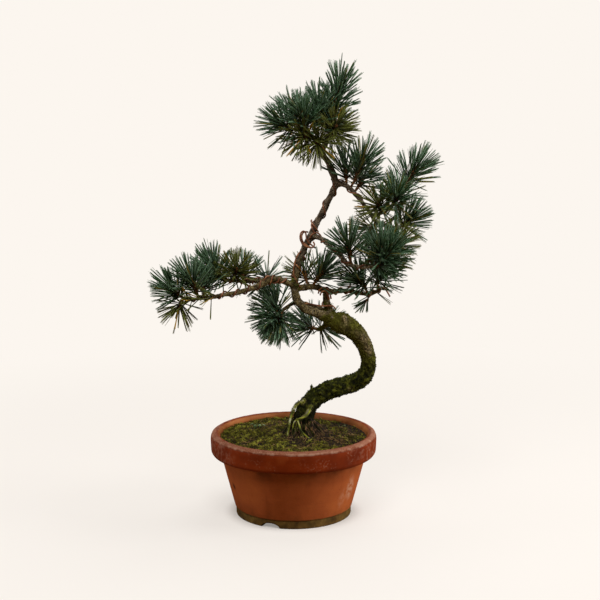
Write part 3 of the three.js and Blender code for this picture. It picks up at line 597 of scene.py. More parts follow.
class Terracotta(Finish):
    """Weathered unglazed clay: worn lip, stained rim, algae on the foot and lime on one side, with painted
    shade under the rim and painted highlights on the rim's sides.
    """

    # Where a part of the pot starts and where it is full, as heights, radii or depths.
    inner_face = (0.002, 0.004)
    rim_radius = (0.0945, 0.0965)
    rim_foot = (0.0775, 0.079)
    under_rim = ((0.052, 0.078), (0.0785, 0.0775))
    lip = (0.1005, 0.1035)
    lip_outside = (0.0965, 0.0995)
    lip_line = ((0.1006, 0.1012), (0.1022, 0.1016))
    lip_edge = ((0.1005, 0.1018), (0.1046, 0.103))
    # the distances from the middle, along X, over which the painted highlight on the rim's sides grows
    highlight_sides = (0.06, 0.1)
    algae_edge = (0.0145, 0.0115)
    algae_waver = 0.0035
    damp_foot = (0.03, 0.01)

    def __init__(self, pot: Pot) -> None:
        """Paints the clay.

        Args:
            pot: The pot, whose sizes place the stains.
        """
        super().__init__("terracotta")
        self.height = self.axis("Z")
        self.radius = self.length(self.stretched((1, 1, 0)))
        cloudy = self.noise(45, 5)
        grain = self.noise(1.2, 4)
        pits = self.step(self.cells(2.6), 0.16, 0.05)
        colour = self._rim(self._wall(pot, cloudy), grain)

        foot_edge = self.maths("ADD", self.height, self.times(self.noise(8), self.algae_waver))
        algae = self.ramp(self.noise(10, 5), (0.3, "453418"), (0.6, "6f5528"), (0.8, "8c7040"))
        colour = self.blend(self.step(foot_edge, *self.algae_edge), colour, algae)
        low = self.step(self.height, *self.damp_foot)
        damp = self.times(low, self.step(self.noise(16, 4), 0.35, 0.8), 0.5)
        colour = self.blend(damp, colour, "4b2a12")
        for centre, size, strength, code in pot.stains:
            stain = self.times(self.spot(centre, size), self.step(self.noise(5, 6), 0.3, 0.62), strength)
            colour = self.blend(stain, colour, code)
        speckle = self.step(self.noise(1.6, 2), 0.68, 0.76)
        colour = self.blend(self.times(speckle, 0.15), colour, "c08d6c")
        colour = self.blend(self.times(pits, 0.45), colour, "2b1208")

        self.surface(colour, self.ranged(cloudy, 0.62, 0.9), Specular_IOR_Level=0.08)
        throwing = self.noise(2.4, 2, self.stretched((0.03, 0.03, 1)))
        self.bumpy((throwing, 0.12), (grain, 0.12), (self.maths("SUBTRACT", 1.0, pits), 0.15))

    def _wall(self, pot: Pot, cloudy: bpy.types.NodeSocket) -> bpy.types.NodeSocket:
        """Paints the body, streaked outside and paler inside.

        Args:
            pot: The pot, whose wall parts outside from inside.
            cloudy: Large soft clouds.

        Returns:
            The colour.
        """
        body = self.ramp(cloudy, (0.3, "94481f"), (0.5, "a35229"), (0.72, "b05d2e"))
        streaks = self.noise(9, 4, self.stretched((1, 1, 0.12)))
        body = self.blend(self.times(self.step(streaks, 0.5, 0.85), 0.3), body, "6e3213")
        inner = self.ramp(self.noise(20, 4), (0.3, "83471f"), (0.7, "ac6a3a"))
        wall = self.maths("ADD", self.times(self.height, pot.taper), pot.wall_start * MM)
        depth = self.maths("SUBTRACT", wall, self.radius)
        return self.blend(self.step(depth, *self.inner_face), body, inner)

    def _rim(self, colour: bpy.types.NodeSocket, grain: bpy.types.NodeSocket) -> bpy.types.NodeSocket:
        """Paints the darker rim with soot and painted shade below it, its worn lip, scuffs, and painted
        highlights on its left and right sides.

        Args:
            colour: The colour of the pot's body.
            grain: Fine grain.

        Returns:
            The colour.
        """
        rim = self.ramp(self.noise(26, 5), (0.3, "621f03"), (0.6, "7a2b07"), (0.8, "883a14"))
        on_rim = self.times(self.step(self.radius, *self.rim_radius), self.step(self.height, *self.rim_foot))
        colour = self.blend(on_rim, colour, rim)
        # A band below the rim darkened: partly soot, partly painted shade that the rim casts on the wall.
        below = self.band(self.height, *self.under_rim)
        soot_and_shade = self.times(below, self.step(self.noise(30, 4), 0.2, 0.75), 0.75)
        colour = self.blend(soot_and_shade, colour, "3a1a0a")
        worn = self.ramp(grain, (0.3, "74402a"), (0.7, "a87a62"))
        lip = self.times(self.step(self.height, *self.lip), self.step(self.noise(6, 6), 0.2, 0.5))
        outside = self.step(self.radius, *self.lip_outside)
        colour = self.blend(self.times(lip, self.ranged(outside, 0.15, 0.75)), colour, worn)
        line = self.times(self.band(self.height, *self.lip_line), outside, 0.7)
        colour = self.blend(line, colour, "5a2412")
        edge = self.times(self.band(self.height, *self.lip_edge), outside)
        chipped = self.times(edge, self.step(self.noise(7, 7), 0.42, 0.7), 0.45)
        colour = self.blend(chipped, colour, "c09a82")
        patches = self.step(self.noise(22, 4), 0.5, 0.7)
        scuffs = self.times(on_rim, self.step(self.noise(2.6, 8), 0.5, 0.75), patches, 0.4)
        colour = self.blend(scuffs, colour, "b4866c")
        # Painted highlight: the rim's left and right sides lightened in patches.
        sides = self.step(self.maths("ABSOLUTE", self.axis("X")), *self.highlight_sides)
        side_highlight = self.times(on_rim, sides, self.step(self.noise(6, 8), 0.42, 0.7), 0.42)
        return self.blend(side_highlight, colour, "a67a66")


class NetPlastic(Finish):
    """Black plastic with a faint moulded grain."""

    def __init__(self) -> None:
        """Paints the net."""
        super().__init__("net_plastic")
        grain = self.noise(0.6, 2)
        self.surface(self.ramp(grain, (0.3, "0c0d0d"), (0.7, "1e2120")), 0.5)
        self.bumpy((grain, 0.03))


class Earth(Finish):
    """Dark gritty soil, greened over where the mesh carries moss, with painted shade round the trunk's foot.
    """

    def __init__(self) -> None:
        """Paints the soil."""
        super().__init__("earth")
        crumbs = self.noise(2.2, 6)
        earth = self.ramp(crumbs, (0.38, "0a0703"), (0.5, "241a0c"), (0.62, "4c391e"))
        film = self.ramp(self.noise(3, 5), (0.35, "0e0b04"), (0.5, "2a230b"), (0.66, "564e1e"))
        colour = self.blend(self.attribute("moss"), earth, film)
        # Painted shade: the soil round the trunk's foot darkened.
        shaded = self.times(self.spot((20, -4, 102), (46, 34, 30)), 0.6)
        colour = self.blend(shaded, colour, "0a0704")
        self.surface(colour, 0.95, Specular_IOR_Level=0.2)
        self.bumpy((crumbs, 0.9), (self.noise(0.8, 3), 0.3))


class Moss(Finish):
    """Short moss, dark at the foot and lighter at the tips, with darker patches."""

    def __init__(self, name: str, foot: str, *tips: str) -> None:
        """Paints the moss.

        Args:
            name: The material's name.
            foot: The hex code of the blades' feet.
            tips: Three hex codes for their tips, from dark to light.
        """
        super().__init__(name)
        coarse = self.times(self.noise(11, 5), 0.6)
        patchy = self.maths("ADD", coarse, self.times(self.noise(2.2), 0.4))
        colour = self.blend(self.attribute("along"), foot, self.ramp(patchy, *zip((0.4, 0.5, 0.6), tips)))
        high = self.step(self.axis("Z"), *BEND)
        colour = self.blend(self.times(high, 0.55), colour, "827a28")
        dark_patches = self.times(self.step(self.noise(5, 3), 0.49, 0.64), 0.8)
        self.surface(self.blend(dark_patches, colour, "2a2210"), 0.85, Specular_IOR_Level=0.2)


class Bark(Finish):
    """Plated bark: grey-brown plates over dark cracks, greened by moss, with pale live roots whose palest
    parts are painted highlights and whose dark patches are painted shade, and painted shade at the trunk's
    foot.
    """

    def __init__(self) -> None:
        """Paints the bark."""
        super().__init__("bark")
        crack = self.attribute("crack")
        moss = self.attribute("moss")
        patch = self.noise(11, 5)
        fine = self.noise(1.4, 5)
        plates = self.ramp(patch, (0.3, "463923"), (0.5, "796a45"), (0.7, "ac9a6e"))
        grey = self.ramp(patch, (0.3, "4c4036"), (0.5, "847263"), (0.7, "b4a494"))
        high = self.step(self.axis("Z"), *LEADER)
        plates = self.blend(self.times(high, 0.75), plates, grey)
        plates = self.blend(self.step(fine, 0.42, 0.66), plates, "2c2114")
        lichen = self.times(self.step(self.noise(5, 6), 0.58, 0.68), 0.5)
        plates = self.blend(lichen, plates, "a99c8a")
        colour = self.blend(self.times(crack, 0.8), plates, "160f09")
        green = self.ramp(self.noise(5, 6), (0.34, "0b0c03"), (0.5, "282a09"), (0.66, "5c5e1a"))
        bend = self.step(self.axis("Z"), *BEND)
        green = self.blend(self.times(bend, 0.4), green, "6c6824")
        colour = self.blend(moss, colour, green)
        # The live roots: greens of their own, and a palest stop that is a painted highlight.
        live = self.ramp(self.noise(7, 5), (0.3, "5a6218"), (0.5, "98982f"), (0.66, "d8d6b0"))
        # Painted shade in patches over the live roots.
        shaded = self.blend(self.step(self.noise(2.5, 4), 0.5, 0.75), live, "2c2a12")
        colour = self.blend(self.attribute("root"), colour, shaded)
        # Painted shade: near-black at the trunk's foot, between the roots.
        colour = self.blend(self.attribute("dark"), colour, "0d0a06")
        self.surface(colour, 0.88, Specular_IOR_Level=0.1)
        self.bumpy((fine, 0.35), (self.noise(0.7, 3), 0.15))


class Copper(Finish):
    """Annealed copper wire, browned and dulled, with bright rubs."""

    def __init__(self) -> None:
        """Paints the wire."""
        super().__init__("copper")
        tarnish = self.noise(9, 4)
        colour = self.ramp(tarnish, (0.3, "4a2816"), (0.5, "865236"), (0.7, "c08860"))
        self.surface(colour, self.ranged(tarnish, 0.55, 0.3))
        self.put(self.shader, "Metallic", 0.4)
        self.bumpy((self.noise(1.2, 3), 0.05))


class NeedleSkin(Finish):
    """Needles: a dark green back, two pale waxy inner faces, a tone that differs between needles, and painted
    shade toward their foot.
    """

    def __init__(self, name: str, dark: str, green: str, waxy: str, gone: str, turns_at: float) -> None:
        """Paints the needles.

        Args:
            name: The material's name.
            dark: The hex code of the darkest needles.
            green: The hex code of the freshest needles.
            waxy: The hex code of the pale inner faces.
            gone: The hex code of the few needles that have turned.
            turns_at: The tint above which a needle has turned.
        """
        super().__init__(name)
        tint = self.attribute("tint")
        along = self.attribute("along")
        body = self.blend(tint, dark, green)
        body = self.blend(self.times(self.attribute("pale"), 0.75), body, waxy)
        # Painted shade: needles darken toward their foot by the shoot.
        shaded = self.times(self.step(along, 0.6, 0.05), 0.8)
        body = self.blend(shaded, body, "14180a")
        body = self.blend(self.step(tint, turns_at, turns_at + 0.002), body, gone)
        self.surface(body, 0.42, Specular_IOR_Level=0.35)


class ShootBark(Finish):
    """Young shoots: brown bark with paler bud scales and needle sheaths."""

    def __init__(self) -> None:
        """Paints the shoots."""
        super().__init__("shoot_bark")
        scales = self.noise(1.5, 4)
        colour = self.ramp(scales, (0.35, "38251a"), (0.5, "614227"), (0.68, "9a6c3c"))
        self.surface(colour, 0.75, Specular_IOR_Level=0.1)
        self.bumpy((scales, 0.3))


class Speckled(Finish):
    """Small loose things whose colour changes from one to the next: grit, rootlets, fallen needles."""

    def __init__(self, name: str, size: float, *codes: str) -> None:
        """Paints them.

        Args:
            name: The material's name.
            size: How far apart two pieces of unlike colour are.
            codes: The hex codes of the colours, from dark to light.
        """
        super().__init__(name)
        first, last = 0.3, 0.72
        stops = [(mixed(first, last, i / (len(codes) - 1)), code) for i, code in enumerate(codes)]
        self.surface(self.ramp(self.noise(size, 2), *stops), 0.85, Specular_IOR_Level=0.3)


class Paper(Finish):
    """The studio's pale paper, whose far parts glow like a lit backdrop."""

    def __init__(self, studio: Studio) -> None:
        """Paints the paper.

        Args:
            studio: The studio, with the paper's colours and where it turns into backdrop.
        """
        super().__init__("paper")
        self.surface(studio.paper, 0.9, Specular_IOR_Level=0.1)
        lit = self.node("Emission", {"Color": studio.backdrop, "Strength": 1.0}).outputs[0]
        seen = self.node("LightPath", {}).outputs["Is Camera Ray"]
        dim = self.node("BsdfDiffuse", {"Color": studio.bounced}).outputs[0]
        away = self.length(self.place)
        beside = self.ranged(self.step(away, *studio.contact), *studio.glow)
        share = self.ranged(self.step(away, *studio.fade), beside, 1.0)
        paper = self.node("MixShader", {0: share, 1: self.shader.outputs[0], 2: lit})
        mix = self.node("MixShader", {0: seen, 1: dim, 2: paper.outputs[0]})
        self.put(self.nodes["Material Output"], "Surface", mix.outputs[0])


# ---------------------------------------------------------------- studio


@dataclass
class Studio:
    """Camera, paper floor and soft light. Colours are hex codes, distances from the pot are metres."""

    focal_pixels: float = 1337.0
    picture_pixels: float = 600.0
    sensor: float = 36.0
    camera_place: tuple[float, float, float] = (8.1, -1643, 543)
    camera_tilt: float = 9.34
    floor_radius: float = 8.0
    paper: str = "e8e2dc"
    bounced: str = "8a7658"  # the paper's colour as it lights the part from below
    backdrop: str = "fcf6ef"
    glow: tuple[float, float] = (0.297, 0.66)  # the share of backdrop beside the pot and further off
    contact: tuple[float, float] = (0.07, 0.092)  # between which distances the glow grows
    fade: tuple[float, float] = (0.25, 1.1)  # between which distances the paper turns into backdrop
    ambient: float = 0.1
    ambient_colour: str = "fff0d8"
    aim: tuple[float, float, float] = (0, 0, 0.25)
    # Each lamp's name, place in metres, size in metres and power in watts.
    lamps: tuple[tuple[str, tuple[float, float, float], float, float], ...] = (
        ("lamp_front", (-0.2, -1.2, 1.9), 1.0, 25.5),
        ("lamp_back", (0.3, 0.5, 1.7), 1.0, 15.0),
        ("lamp_left", (-1.6, 0.1, 0.5), 0.8, 8.0),
        ("lamp_right", (1.9, -0.15, 0.65), 0.95, 34.5),
    )

    def build(self) -> None:
        """Sets up everything round the part."""
        self._camera()
        self._floor()
        self._world()
        for lamp in self.lamps:
            self._lamp(*lamp)
        bpy.context.scene.view_settings.view_transform = "Standard"

    def _camera(self) -> None:
        """Puts the camera where the photograph was taken from."""
        data = bpy.data.cameras.new("camera")
        data.sensor_width = self.sensor
        data.lens = self.focal_pixels / self.picture_pixels * self.sensor
        camera = object_of("camera", data)
        camera.location = Vector(self.camera_place) * MM
        camera.rotation_euler = (math.radians(90 - self.camera_tilt), 0, 0)
        bpy.context.scene.camera = camera

    def _floor(self) -> None:
        """Lays the paper."""
        bm = bmesh.new()
        bmesh.ops.create_circle(bm, cap_ends=True, segments=96, radius=self.floor_radius / MM)
        floor = object_of("floor", mesh_from("floor", bm, soft=False))
        floor.data.materials.append(Paper(self).material)

    def _world(self) -> None:
        """Surrounds the scene with soft light, seen by the camera as the backdrop."""
        world = bpy.data.worlds.new("studio")
        world.use_nodes = True
        nodes, links = world.node_tree.nodes, world.node_tree.links
        light = nodes["Background"]
        light.inputs["Strength"].default_value = self.ambient
        light.inputs["Color"].default_value = tone(self.ambient_colour)
        seen = nodes.new("ShaderNodeBackground")
        seen.inputs["Color"].default_value = tone(self.backdrop)
        mix = nodes.new("ShaderNodeMixShader")
        links.new(nodes.new("ShaderNodeLightPath").outputs["Is Camera Ray"], mix.inputs[0])
        links.new(light.outputs[0], mix.inputs[1])
        links.new(seen.outputs[0], mix.inputs[2])
        links.new(mix.outputs[0], nodes["World Output"].inputs["Surface"])
        bpy.context.scene.world = world

    def _lamp(self, name: str, place: tuple[float, float, float], size: float, power: float) -> None:
        """Hangs one soft box that faces the tree."""
        data = bpy.data.lights.new(name, "AREA")
        data.size = size
        data.energy = power
        lamp = object_of(name, data)
        lamp.location = place
        lamp.rotation_euler = (Vector(self.aim) - lamp.location).to_track_quat("-Z", "Y").to_euler()


# ---------------------------------------------------------------- pot and net


@dataclass
class Pot:
    """The thrown clay pot with its rolled rim, foot ring and drainage notches."""

    steps: int = 192
    fine: float = 2.4  # the longest step along the outline
    taper: float = 0.265  # how much the wall widens with its height
    wall_start: float = 71.4  # the radius at which the wall would meet the ground
    # radius, height and how far each corner is rounded
    outline: tuple[tuple[float, float, float], ...] = (
        (13, 6.5, 0.8), (59, 6.5, 2), (61, 0, 0.8), (72.9, 0, 1.2), (73.1, 10, 0.5), (74.3, 11.2, 0.6),
        (76.2, 18, 4), (92, 77.6, 1.2), (102, 78.2, 1.6), (104.3, 81.5, 1.5), (105, 97, 3),
        (104.4, 100.6, 0.7), (103.9, 101.2, 0.5), (103.6, 102.8, 1.0), (98.8, 106, 2.6),
        (95, 104.6, 1.2), (93.2, 101, 2),
        (92.9, 98, 1), (78.1, 58, 8), (67.9, 20, 5), (62, 13, 1.5), (13, 13, 0.8),
    )
    corner_steps: int = 4
    seam_steps: int = 4
    # How far the wall strays, and over what distance: as a whole, in throwing ridges and by wear at the lip.
    wobble: tuple[float, float] = (0.35, 55)
    ridges: tuple[float, float] = (0.1, 3)
    wear: tuple[float, float] = (0.35, 4)
    notch_count: int = 3
    notch_first: float = -113.0
    notch_size: tuple[float, float, float] = (12, 6, 30)  # half width, height and depth
    notch_reach: float = 64.0
    # Stains: centre, size, strength and colour.
    stains: tuple[tuple[tuple[float, float, float], tuple[float, float, float], float, str], ...] = (
        ((71, -46, 42), (9, 16, 26), 0.5, "d0a98c"),
        ((62, -55, 30), (10, 10, 22), 0.3, "c89a7a"),
        ((-74, -38, 44), (5, 5, 8), 0.95, "140a06"),
        ((30, 100, 96), (34, 20, 12), 0.4, "c49a80"),
        ((-75, 30, 50), (12, 22, 30), 0.4, "c49a80"),
    )

    def _profile(self) -> list[Vector]:
        """The outline with round corners, its long stretches cut into fine steps."""
        corners = [Vector((r, 0, z)) for r, z, _ in self.outline]
        points: list[Vector] = []
        for i, (corner, (_, _, reach)) in enumerate(zip(corners, self.outline)):
            before, after = corners[i - 1], corners[(i + 1) % len(corners)]
            enter, leave = (
                corner + (end - corner).normalized() * min(reach, (end - corner).length * 0.45)
                for end in (before, after)
            )
            if points:
                straight = enter - points[-1]
                cuts = int(straight.length / self.fine)
                points += [points[-1] + straight * (k / (cuts + 1)) for k in range(1, cuts + 1)]
            for k in range(self.corner_steps + 1):
                w = k / self.corner_steps
                points.append(enter * (1 - w) ** 2 + corner * 2 * w * (1 - w) + leave * w**2)
        straight = (points[0] - points[-1]) / self.seam_steps
        return points + [points[-1] + straight * k for k in range(1, self.seam_steps)]

    def _shell(self) -> bmesh.types.BMesh:
        """The pot as spun on the wheel, slightly uneven."""
        bm = spun(self._profile(), self.steps, closed=True)
        bmesh.ops.recalc_face_normals(bm, faces=bm.faces)
        for vertex in bm.verts:
            out = Vector((vertex.co.x, vertex.co.y, 0)).normalized()
            free = smooth(vertex.co.z, 0, 12)
            uneven = self.wobble[0] * noise.noise(vertex.co / self.wobble[1])
            uneven += self.ridges[0] * noise.noise(Vector((3, 5, vertex.co.z / self.ridges[1])))
            worn = self.wear[0] * smooth(vertex.co.z, 101, 105)
            worn *= noise.fractal(vertex.co / self.wear[1], 1, 2, 3)
            vertex.co += out * (uneven + worn) * free
            vertex.co.z -= abs(worn)
        return bm

    def _notches(self) -> bpy.types.Object:
        """Low arches that cut the foot ring."""
        bm = bmesh.new()
        half, height, depth = self.notch_size
        for i in range(self.notch_count):
            made = bmesh.ops.create_cone(bm, cap_ends=True, segments=40, radius1=1, radius2=1, depth=depth)
            angle = math.radians(self.notch_first + i * 360 / self.notch_count)
            lay = Matrix.Rotation(math.radians(90), 4, "Y")
            shape = Matrix.Diagonal((1, half, height, 1)) @ lay
            place = Matrix.Rotation(angle, 4, "Z") @ Matrix.Translation((self.notch_reach, 0, 0)) @ shape
            bmesh.ops.transform(bm, matrix=place, verts=made["verts"])
        return object_of("notches", mesh_from("notches", bm))

    def build(self) -> bpy.types.Object:
        """Makes the pot.

        Returns:
            The finished piece.
        """
        blank = object_of("pot_blank", mesh_from("pot_blank", self._shell()))
        notches = self._notches()
        cut = blank.modifiers.new("notches", "BOOLEAN")
        cut.operation = "DIFFERENCE"
        cut.object = notches
        mesh = baked(blank)
        bpy.data.objects.remove(notches)
        mesh.materials.clear()
        return dressed("clay_pot", mesh, Slot.CLAY, Terracotta(self), nodes=["pot"])


# ---------------------------------------------------------------- soil and what lies on it


@dataclass
class SoilBed:
    """The soil in the pot, its moss, grit, rootlets, fallen needles and weeds."""

    wall_height: float = 98.0
    mound: float = 7.0
    mound_radius: float = 48.0
    radius: float = 92.3
    rings: int = 74
    steps: int = 240
    # the sides and the bottom: radius and height
    floor: tuple[tuple[float, float], ...] = (
        (77.5, 58), (67.2, 20), (61, 13.3), (28.9, 13.3), (27.9, 14.6), (0, 14.6),
    )
    tufts: int = 6800
    grains: int = 2600
    straws: int = 150
    rootlets: int = 95
    grain_radius: tuple[float, float] = (0.5, 1.5)
    straw_length: tuple[float, float] = (7, 24)
    straw_radius: tuple[float, float] = (0.28, 0.6)
    rootlet_tops: tuple[float, float] = (101, 124)
    rootlet_reach: tuple[float, float] = (6, 40)
    rootlet_radius: tuple[float, float] = (0.35, 1.0)
    seed: int = 71

    def __post_init__(self) -> None:
        """Seeds the bed's own draws."""
        self.draw = random.Random(self.seed)

    def moss(self, x: float, y: float) -> float:
        """How mossy the soil is at a place, from 0 to 1: most to the left and along the front."""
        radius = math.hypot(x, y)
        patches = noise.fractal(Vector((x, y, 7)) / 26, 1, 2, 3)
        bias = 0.1 - x / 200 - y / 420 + 0.35 * smooth(radius, 45, 88)
        clear = smooth(math.hypot(x - 16, y + 6), 20, 46)
        return smooth(patches + bias, -0.1, 0.45) * clear

    def height(self, x: float, y: float) -> float:
        """The height of the soil's top at a place."""
        radius = math.hypot(x, y)
        place = Vector((x, y, 0))
        mound = self.mound * math.exp(-((radius / self.mound_radius) ** 2))
        lumps = noise.fractal(place / 22, 1, 2, 2) + 1.4 * noise.fractal(place / 5, 1, 2, 3)
        cushion = 2.2 * self.moss(x, y) * max(0.0, 0.35 + noise.noise(place / 11 + UP * 3))
        return self.wall_height + mound + (lumps + cushion) * smooth(self.radius - radius, -2, 6) - 0.3

    def _bed(self) -> bpy.types.Object:
        """The body of the soil, with a crumbly top."""
        line = [Vector((self.radius * i / self.rings, 0, self.wall_height)) for i in range(self.rings + 1)]
        line += [Vector((r, 0, z)) for r, z in self.floor]
        bm = spun(line, self.steps, closed=False)
        bmesh.ops.remove_doubles(bm, verts=bm.verts, dist=0.01)
        bmesh.ops.recalc_face_normals(bm, faces=bm.faces)
        green = bm.verts.layers.float.new("moss")
        for vertex in bm.verts:
            if vertex.co.z > self.wall_height - 1:
                vertex[green] = self.moss(vertex.co.x, vertex.co.y)
                vertex.co.z = self.height(vertex.co.x, vertex.co.y)
        return dressed("soil_bed", mesh_from("soil_bed", bm), Slot.SOIL, Earth(), nodes=["soil"])

    def _spots(self, count: int, weight: Callable[[float, float], float], reach: float) -> list[Vector]:
        """Seeded places on the soil, more of them where the weight is high."""
        spots: list[Vector] = []
        while len(spots) < count:
            radius, angle = reach * math.sqrt(self.draw.random()), self.draw.uniform(0, 2 * math.pi)
            x, y = radius * math.cos(angle), radius * math.sin(angle)
            if self.draw.random() < weight(x, y):
                spots.append(Vector((x, y, self.height(x, y))))
        return spots

    def _grit(self) -> bpy.types.Object:
        """Loose grains of pumice, clay and bark, half sunk."""
        bm = bmesh.new()
        for spot in self._spots(self.grains, lambda x, y: 1.0 - 0.8 * self.moss(x, y), self.radius - 2):
            size = mixed(*self.grain_radius, self.draw.random() ** 2.2)
            axis = Vector([self.draw.gauss(0, 1) for _ in range(3)]).normalized()
            turn = Quaternion(axis, self.draw.uniform(0, 3)).to_matrix().to_4x4()
            wide, high = self.draw.uniform(0.6, 1), self.draw.uniform(0.5, 0.9)
            squat = Matrix.Diagonal((size, size * wide, size * high, 1))
            place = Matrix.Translation(spot + UP * size * 0.15) @ turn @ squat
            bmesh.ops.create_icosphere(bm, subdivisions=1, radius=1, matrix=place)
        finish = Speckled("grit", 3.0, "0b0804", "1d150a", "352712", "523d20", "80643e")
        return dressed("soil_grit", mesh_from("soil_grit", bm, soft=False), Slot.SOIL, finish)

    def _clear_of_trunk(self, x: float, y: float) -> float:
        """0 at the trunk's foot and 1 away from it."""
        return smooth(math.hypot(x - 8, y + 4), 14, 30)

    def _straw(self) -> bpy.types.Object:
        """Fallen needles and bits of twig."""
        lines: list[Line] = []
        spots = self._spots(self.straws, self._clear_of_trunk, self.radius - 14)
        for spot in spots:
            heading, bend = self.draw.uniform(0, 2 * math.pi), self.draw.uniform(-0.6, 0.6)
            length, thick = self.draw.uniform(*self.straw_length), self.draw.uniform(*self.straw_radius)
            line: Line = []
            for k in range(7):
                share = k / 6
                angle = heading + bend * share
                place = spot + level(angle) * (length * (share - 0.5))
                if math.hypot(place.x, place.y) < self.radius - 3:
                    raised = 0.7 + 1.2 * math.sin(math.pi * share) * abs(bend)
                    place.z = self.height(place.x, place.y) + raised
                    line.append((place, thick * (1 - 0.5 * share)))
            if len(line) > 2:
                lines.append(line)
        finish = Speckled("litter", 9.0, "32200f", "5a3e20", "8a6c3e", "b2965e")
        return dressed("soil_litter", bars("soil_litter", lines, 0), Slot.SOIL, finish)

    def _rootlets(self) -> bpy.types.Object:
        """Thin dark roots that hang from the foot of the trunk and run into the soil."""
        lines: list[Line] = []
        for _ in range(self.rootlets):
            out = level(self.draw.uniform(-math.pi, math.pi))
            top = self.draw.uniform(*self.rootlet_tops)
            start = Vector((9 + (top - 104) * 0.22, -1, top)) + out * 12.8
            reach = mixed(*self.rootlet_reach, self.draw.random() ** 1.5)
            thick = mixed(*self.rootlet_radius, self.draw.random() ** 2)
            arch = self.draw.uniform(0.5, 1.3)
            line: Line = []
            for k in range(10):
                share = k / 9
                place = start + out * reach * share**0.9
                stray = 6.5 * math.sin(math.pi * min(1, share * 1.2))
                place += wander(place / 9 + out * 4) * stray
                ground = self.height(place.x, place.y) + 0.3
                place.z = max(mixed(top, ground - 4, share**arch), ground - 3 * share)
                line.append((place, thick * (1 - 0.5 * share)))
            lines.append(line)
        finish = Speckled("rootlet", 6.0, "0c0805", "2a1c10", "5e4429", "927048")
        return dressed("rootlets", bars("rootlets", lines, 0), Slot.BARK, finish)

    def build(self, moss: MossTufts) -> None:
        """Makes the soil and everything on it.

        Args:
            moss: Grows the moss.
        """
        self._bed()
        self._grit()
        self._straw()
        self._rootlets()
        spots = self._spots(self.tufts, lambda x, y: 0.04 + self.moss(x, y), self.radius - 1)
        moss.grow("soil_moss", [(spot - UP * 0.3, UP) for spot in spots], 2.6, Slot.SOIL)
        Seedlings(self).build()


@dataclass
class MossTufts:
    """Moss: tufts of four tiny leaning blades."""

    finish: Moss
    blades: int = 4
    width: float = 0.42
    lean: float = 0.5
    seed: int = 12

    def __post_init__(self) -> None:
        """Seeds the draws."""
        self.draw = random.Random(self.seed)

    def _tuft(self, height: float) -> bpy.types.Mesh:
        """One tuft that stands on the origin, in millimetres."""
        bm = bmesh.new()
        along = bm.verts.layers.float.new("along")
        for i in range(self.blades):
            made = bmesh.ops.create_cone(bm, segments=3, radius1=self.width, radius2=0.05, depth=height)
            for vertex in made["verts"]:
                vertex[along] = 1.0 if vertex.co.z > 0 else 0.0
            lean = self.lean * (0.3 + 0.7 * i / self.blades)
            turn = Matrix.Rotation(i * GOLDEN_TURN, 4, "Z") @ Matrix.Rotation(lean, 4, "Y")
            bmesh.ops.transform(bm, matrix=turn @ Matrix.Translation((0, 0, height / 2)), verts=made["verts"])
        return kept("tuft", bm)

    def grow(
        self, name: str, spots: Iterable[tuple[Vector, Vector]], height: float, slot: Slot
    ) -> bpy.types.Object:
        """Plants tufts.

        Args:
            name: The piece's name.
            spots: For each tuft its foot and the direction that it grows in.
            height: The usual height of a tuft.
            slot: The record's material slot.

        Returns:
            The finished piece.
        """
        tuft = self._tuft(height)
        bm = bmesh.new()
        for foot, up in spots:
            size = self.draw.uniform(0.5, 1.15) * mixed(0.6, 1.3, smooth(noise.noise(foot / 5), -0.5, 0.5))
            spin = Matrix.Rotation(self.draw.uniform(0, 6.28), 4, "Z")
            stamp(bm, tuft, Matrix.Translation(foot) @ turned(up) @ spin @ Matrix.Scale(size, 4))
        return dressed(name, mesh_from(name, bm, soft=False), slot, self.finish)


@dataclass
class Seedlings:
    """Small weeds on the soil, each a few round leaves on short stalks."""

    bed: SoilBed
    # Each weed: x, y, height, the number of leaves and their radius.
    plants: tuple[tuple[float, float, float, int, float], ...] = (
        (-50, 30, 8, 5, 2.2), (-44, 34, 6, 4, 1.9), (60, 32, 8, 2, 1.2),
    )
    thickness: float = 0.25
    stalk_radius: float = 0.35

    def build(self) -> None:
        """Makes the leaves and the stalks."""
        bm = bmesh.new()
        lines: list[Line] = []
        for x, y, height, count, leaf in self.plants:
            foot = Vector((x, y, self.bed.height(x, y)))
            for i in range(count):
                angle = i * GOLDEN_TURN
                out = level(angle)
                tip = foot + UP * height * mixed(0.6, 1.0, i / count) + out * mixed(4.2, 2.4, i / count)
                middle = foot.lerp(tip, 0.5) + UP
                lines.append([(foot - UP, self.stalk_radius), (middle, self.stalk_radius), (tip, 0.2)])
                made = bmesh.ops.create_circle(bm, cap_ends=True, segments=10, radius=leaf)
                bowl = Matrix.Rotation(angle, 4, "Z") @ Matrix.Rotation(math.radians(20), 4, "Y")
                place = Matrix.Translation(tip + out * 1.5) @ bowl @ Matrix.Diagonal((1.15, 0.85, 1, 1))
                bmesh.ops.transform(bm, matrix=place, verts=made["verts"])
        bmesh.ops.solidify(bm, geom=bm.faces, thickness=self.thickness)
        leaf_green = Speckled("seedling_leaf", 6.0, "38482a", "5c6c42", "84906a")
        dressed("seedling_leaves", mesh_from("seedling_leaves", bm), Slot.SOIL, leaf_green)
        stalk_green = Speckled("seedling_stalk", 6.0, "4a5a26", "7d8a44")
        dressed("seedling_stalks", bars("seedling_stalks", lines, 0), Slot.SOIL, stalk_green)


# ---------------------------------------------------------------- wood


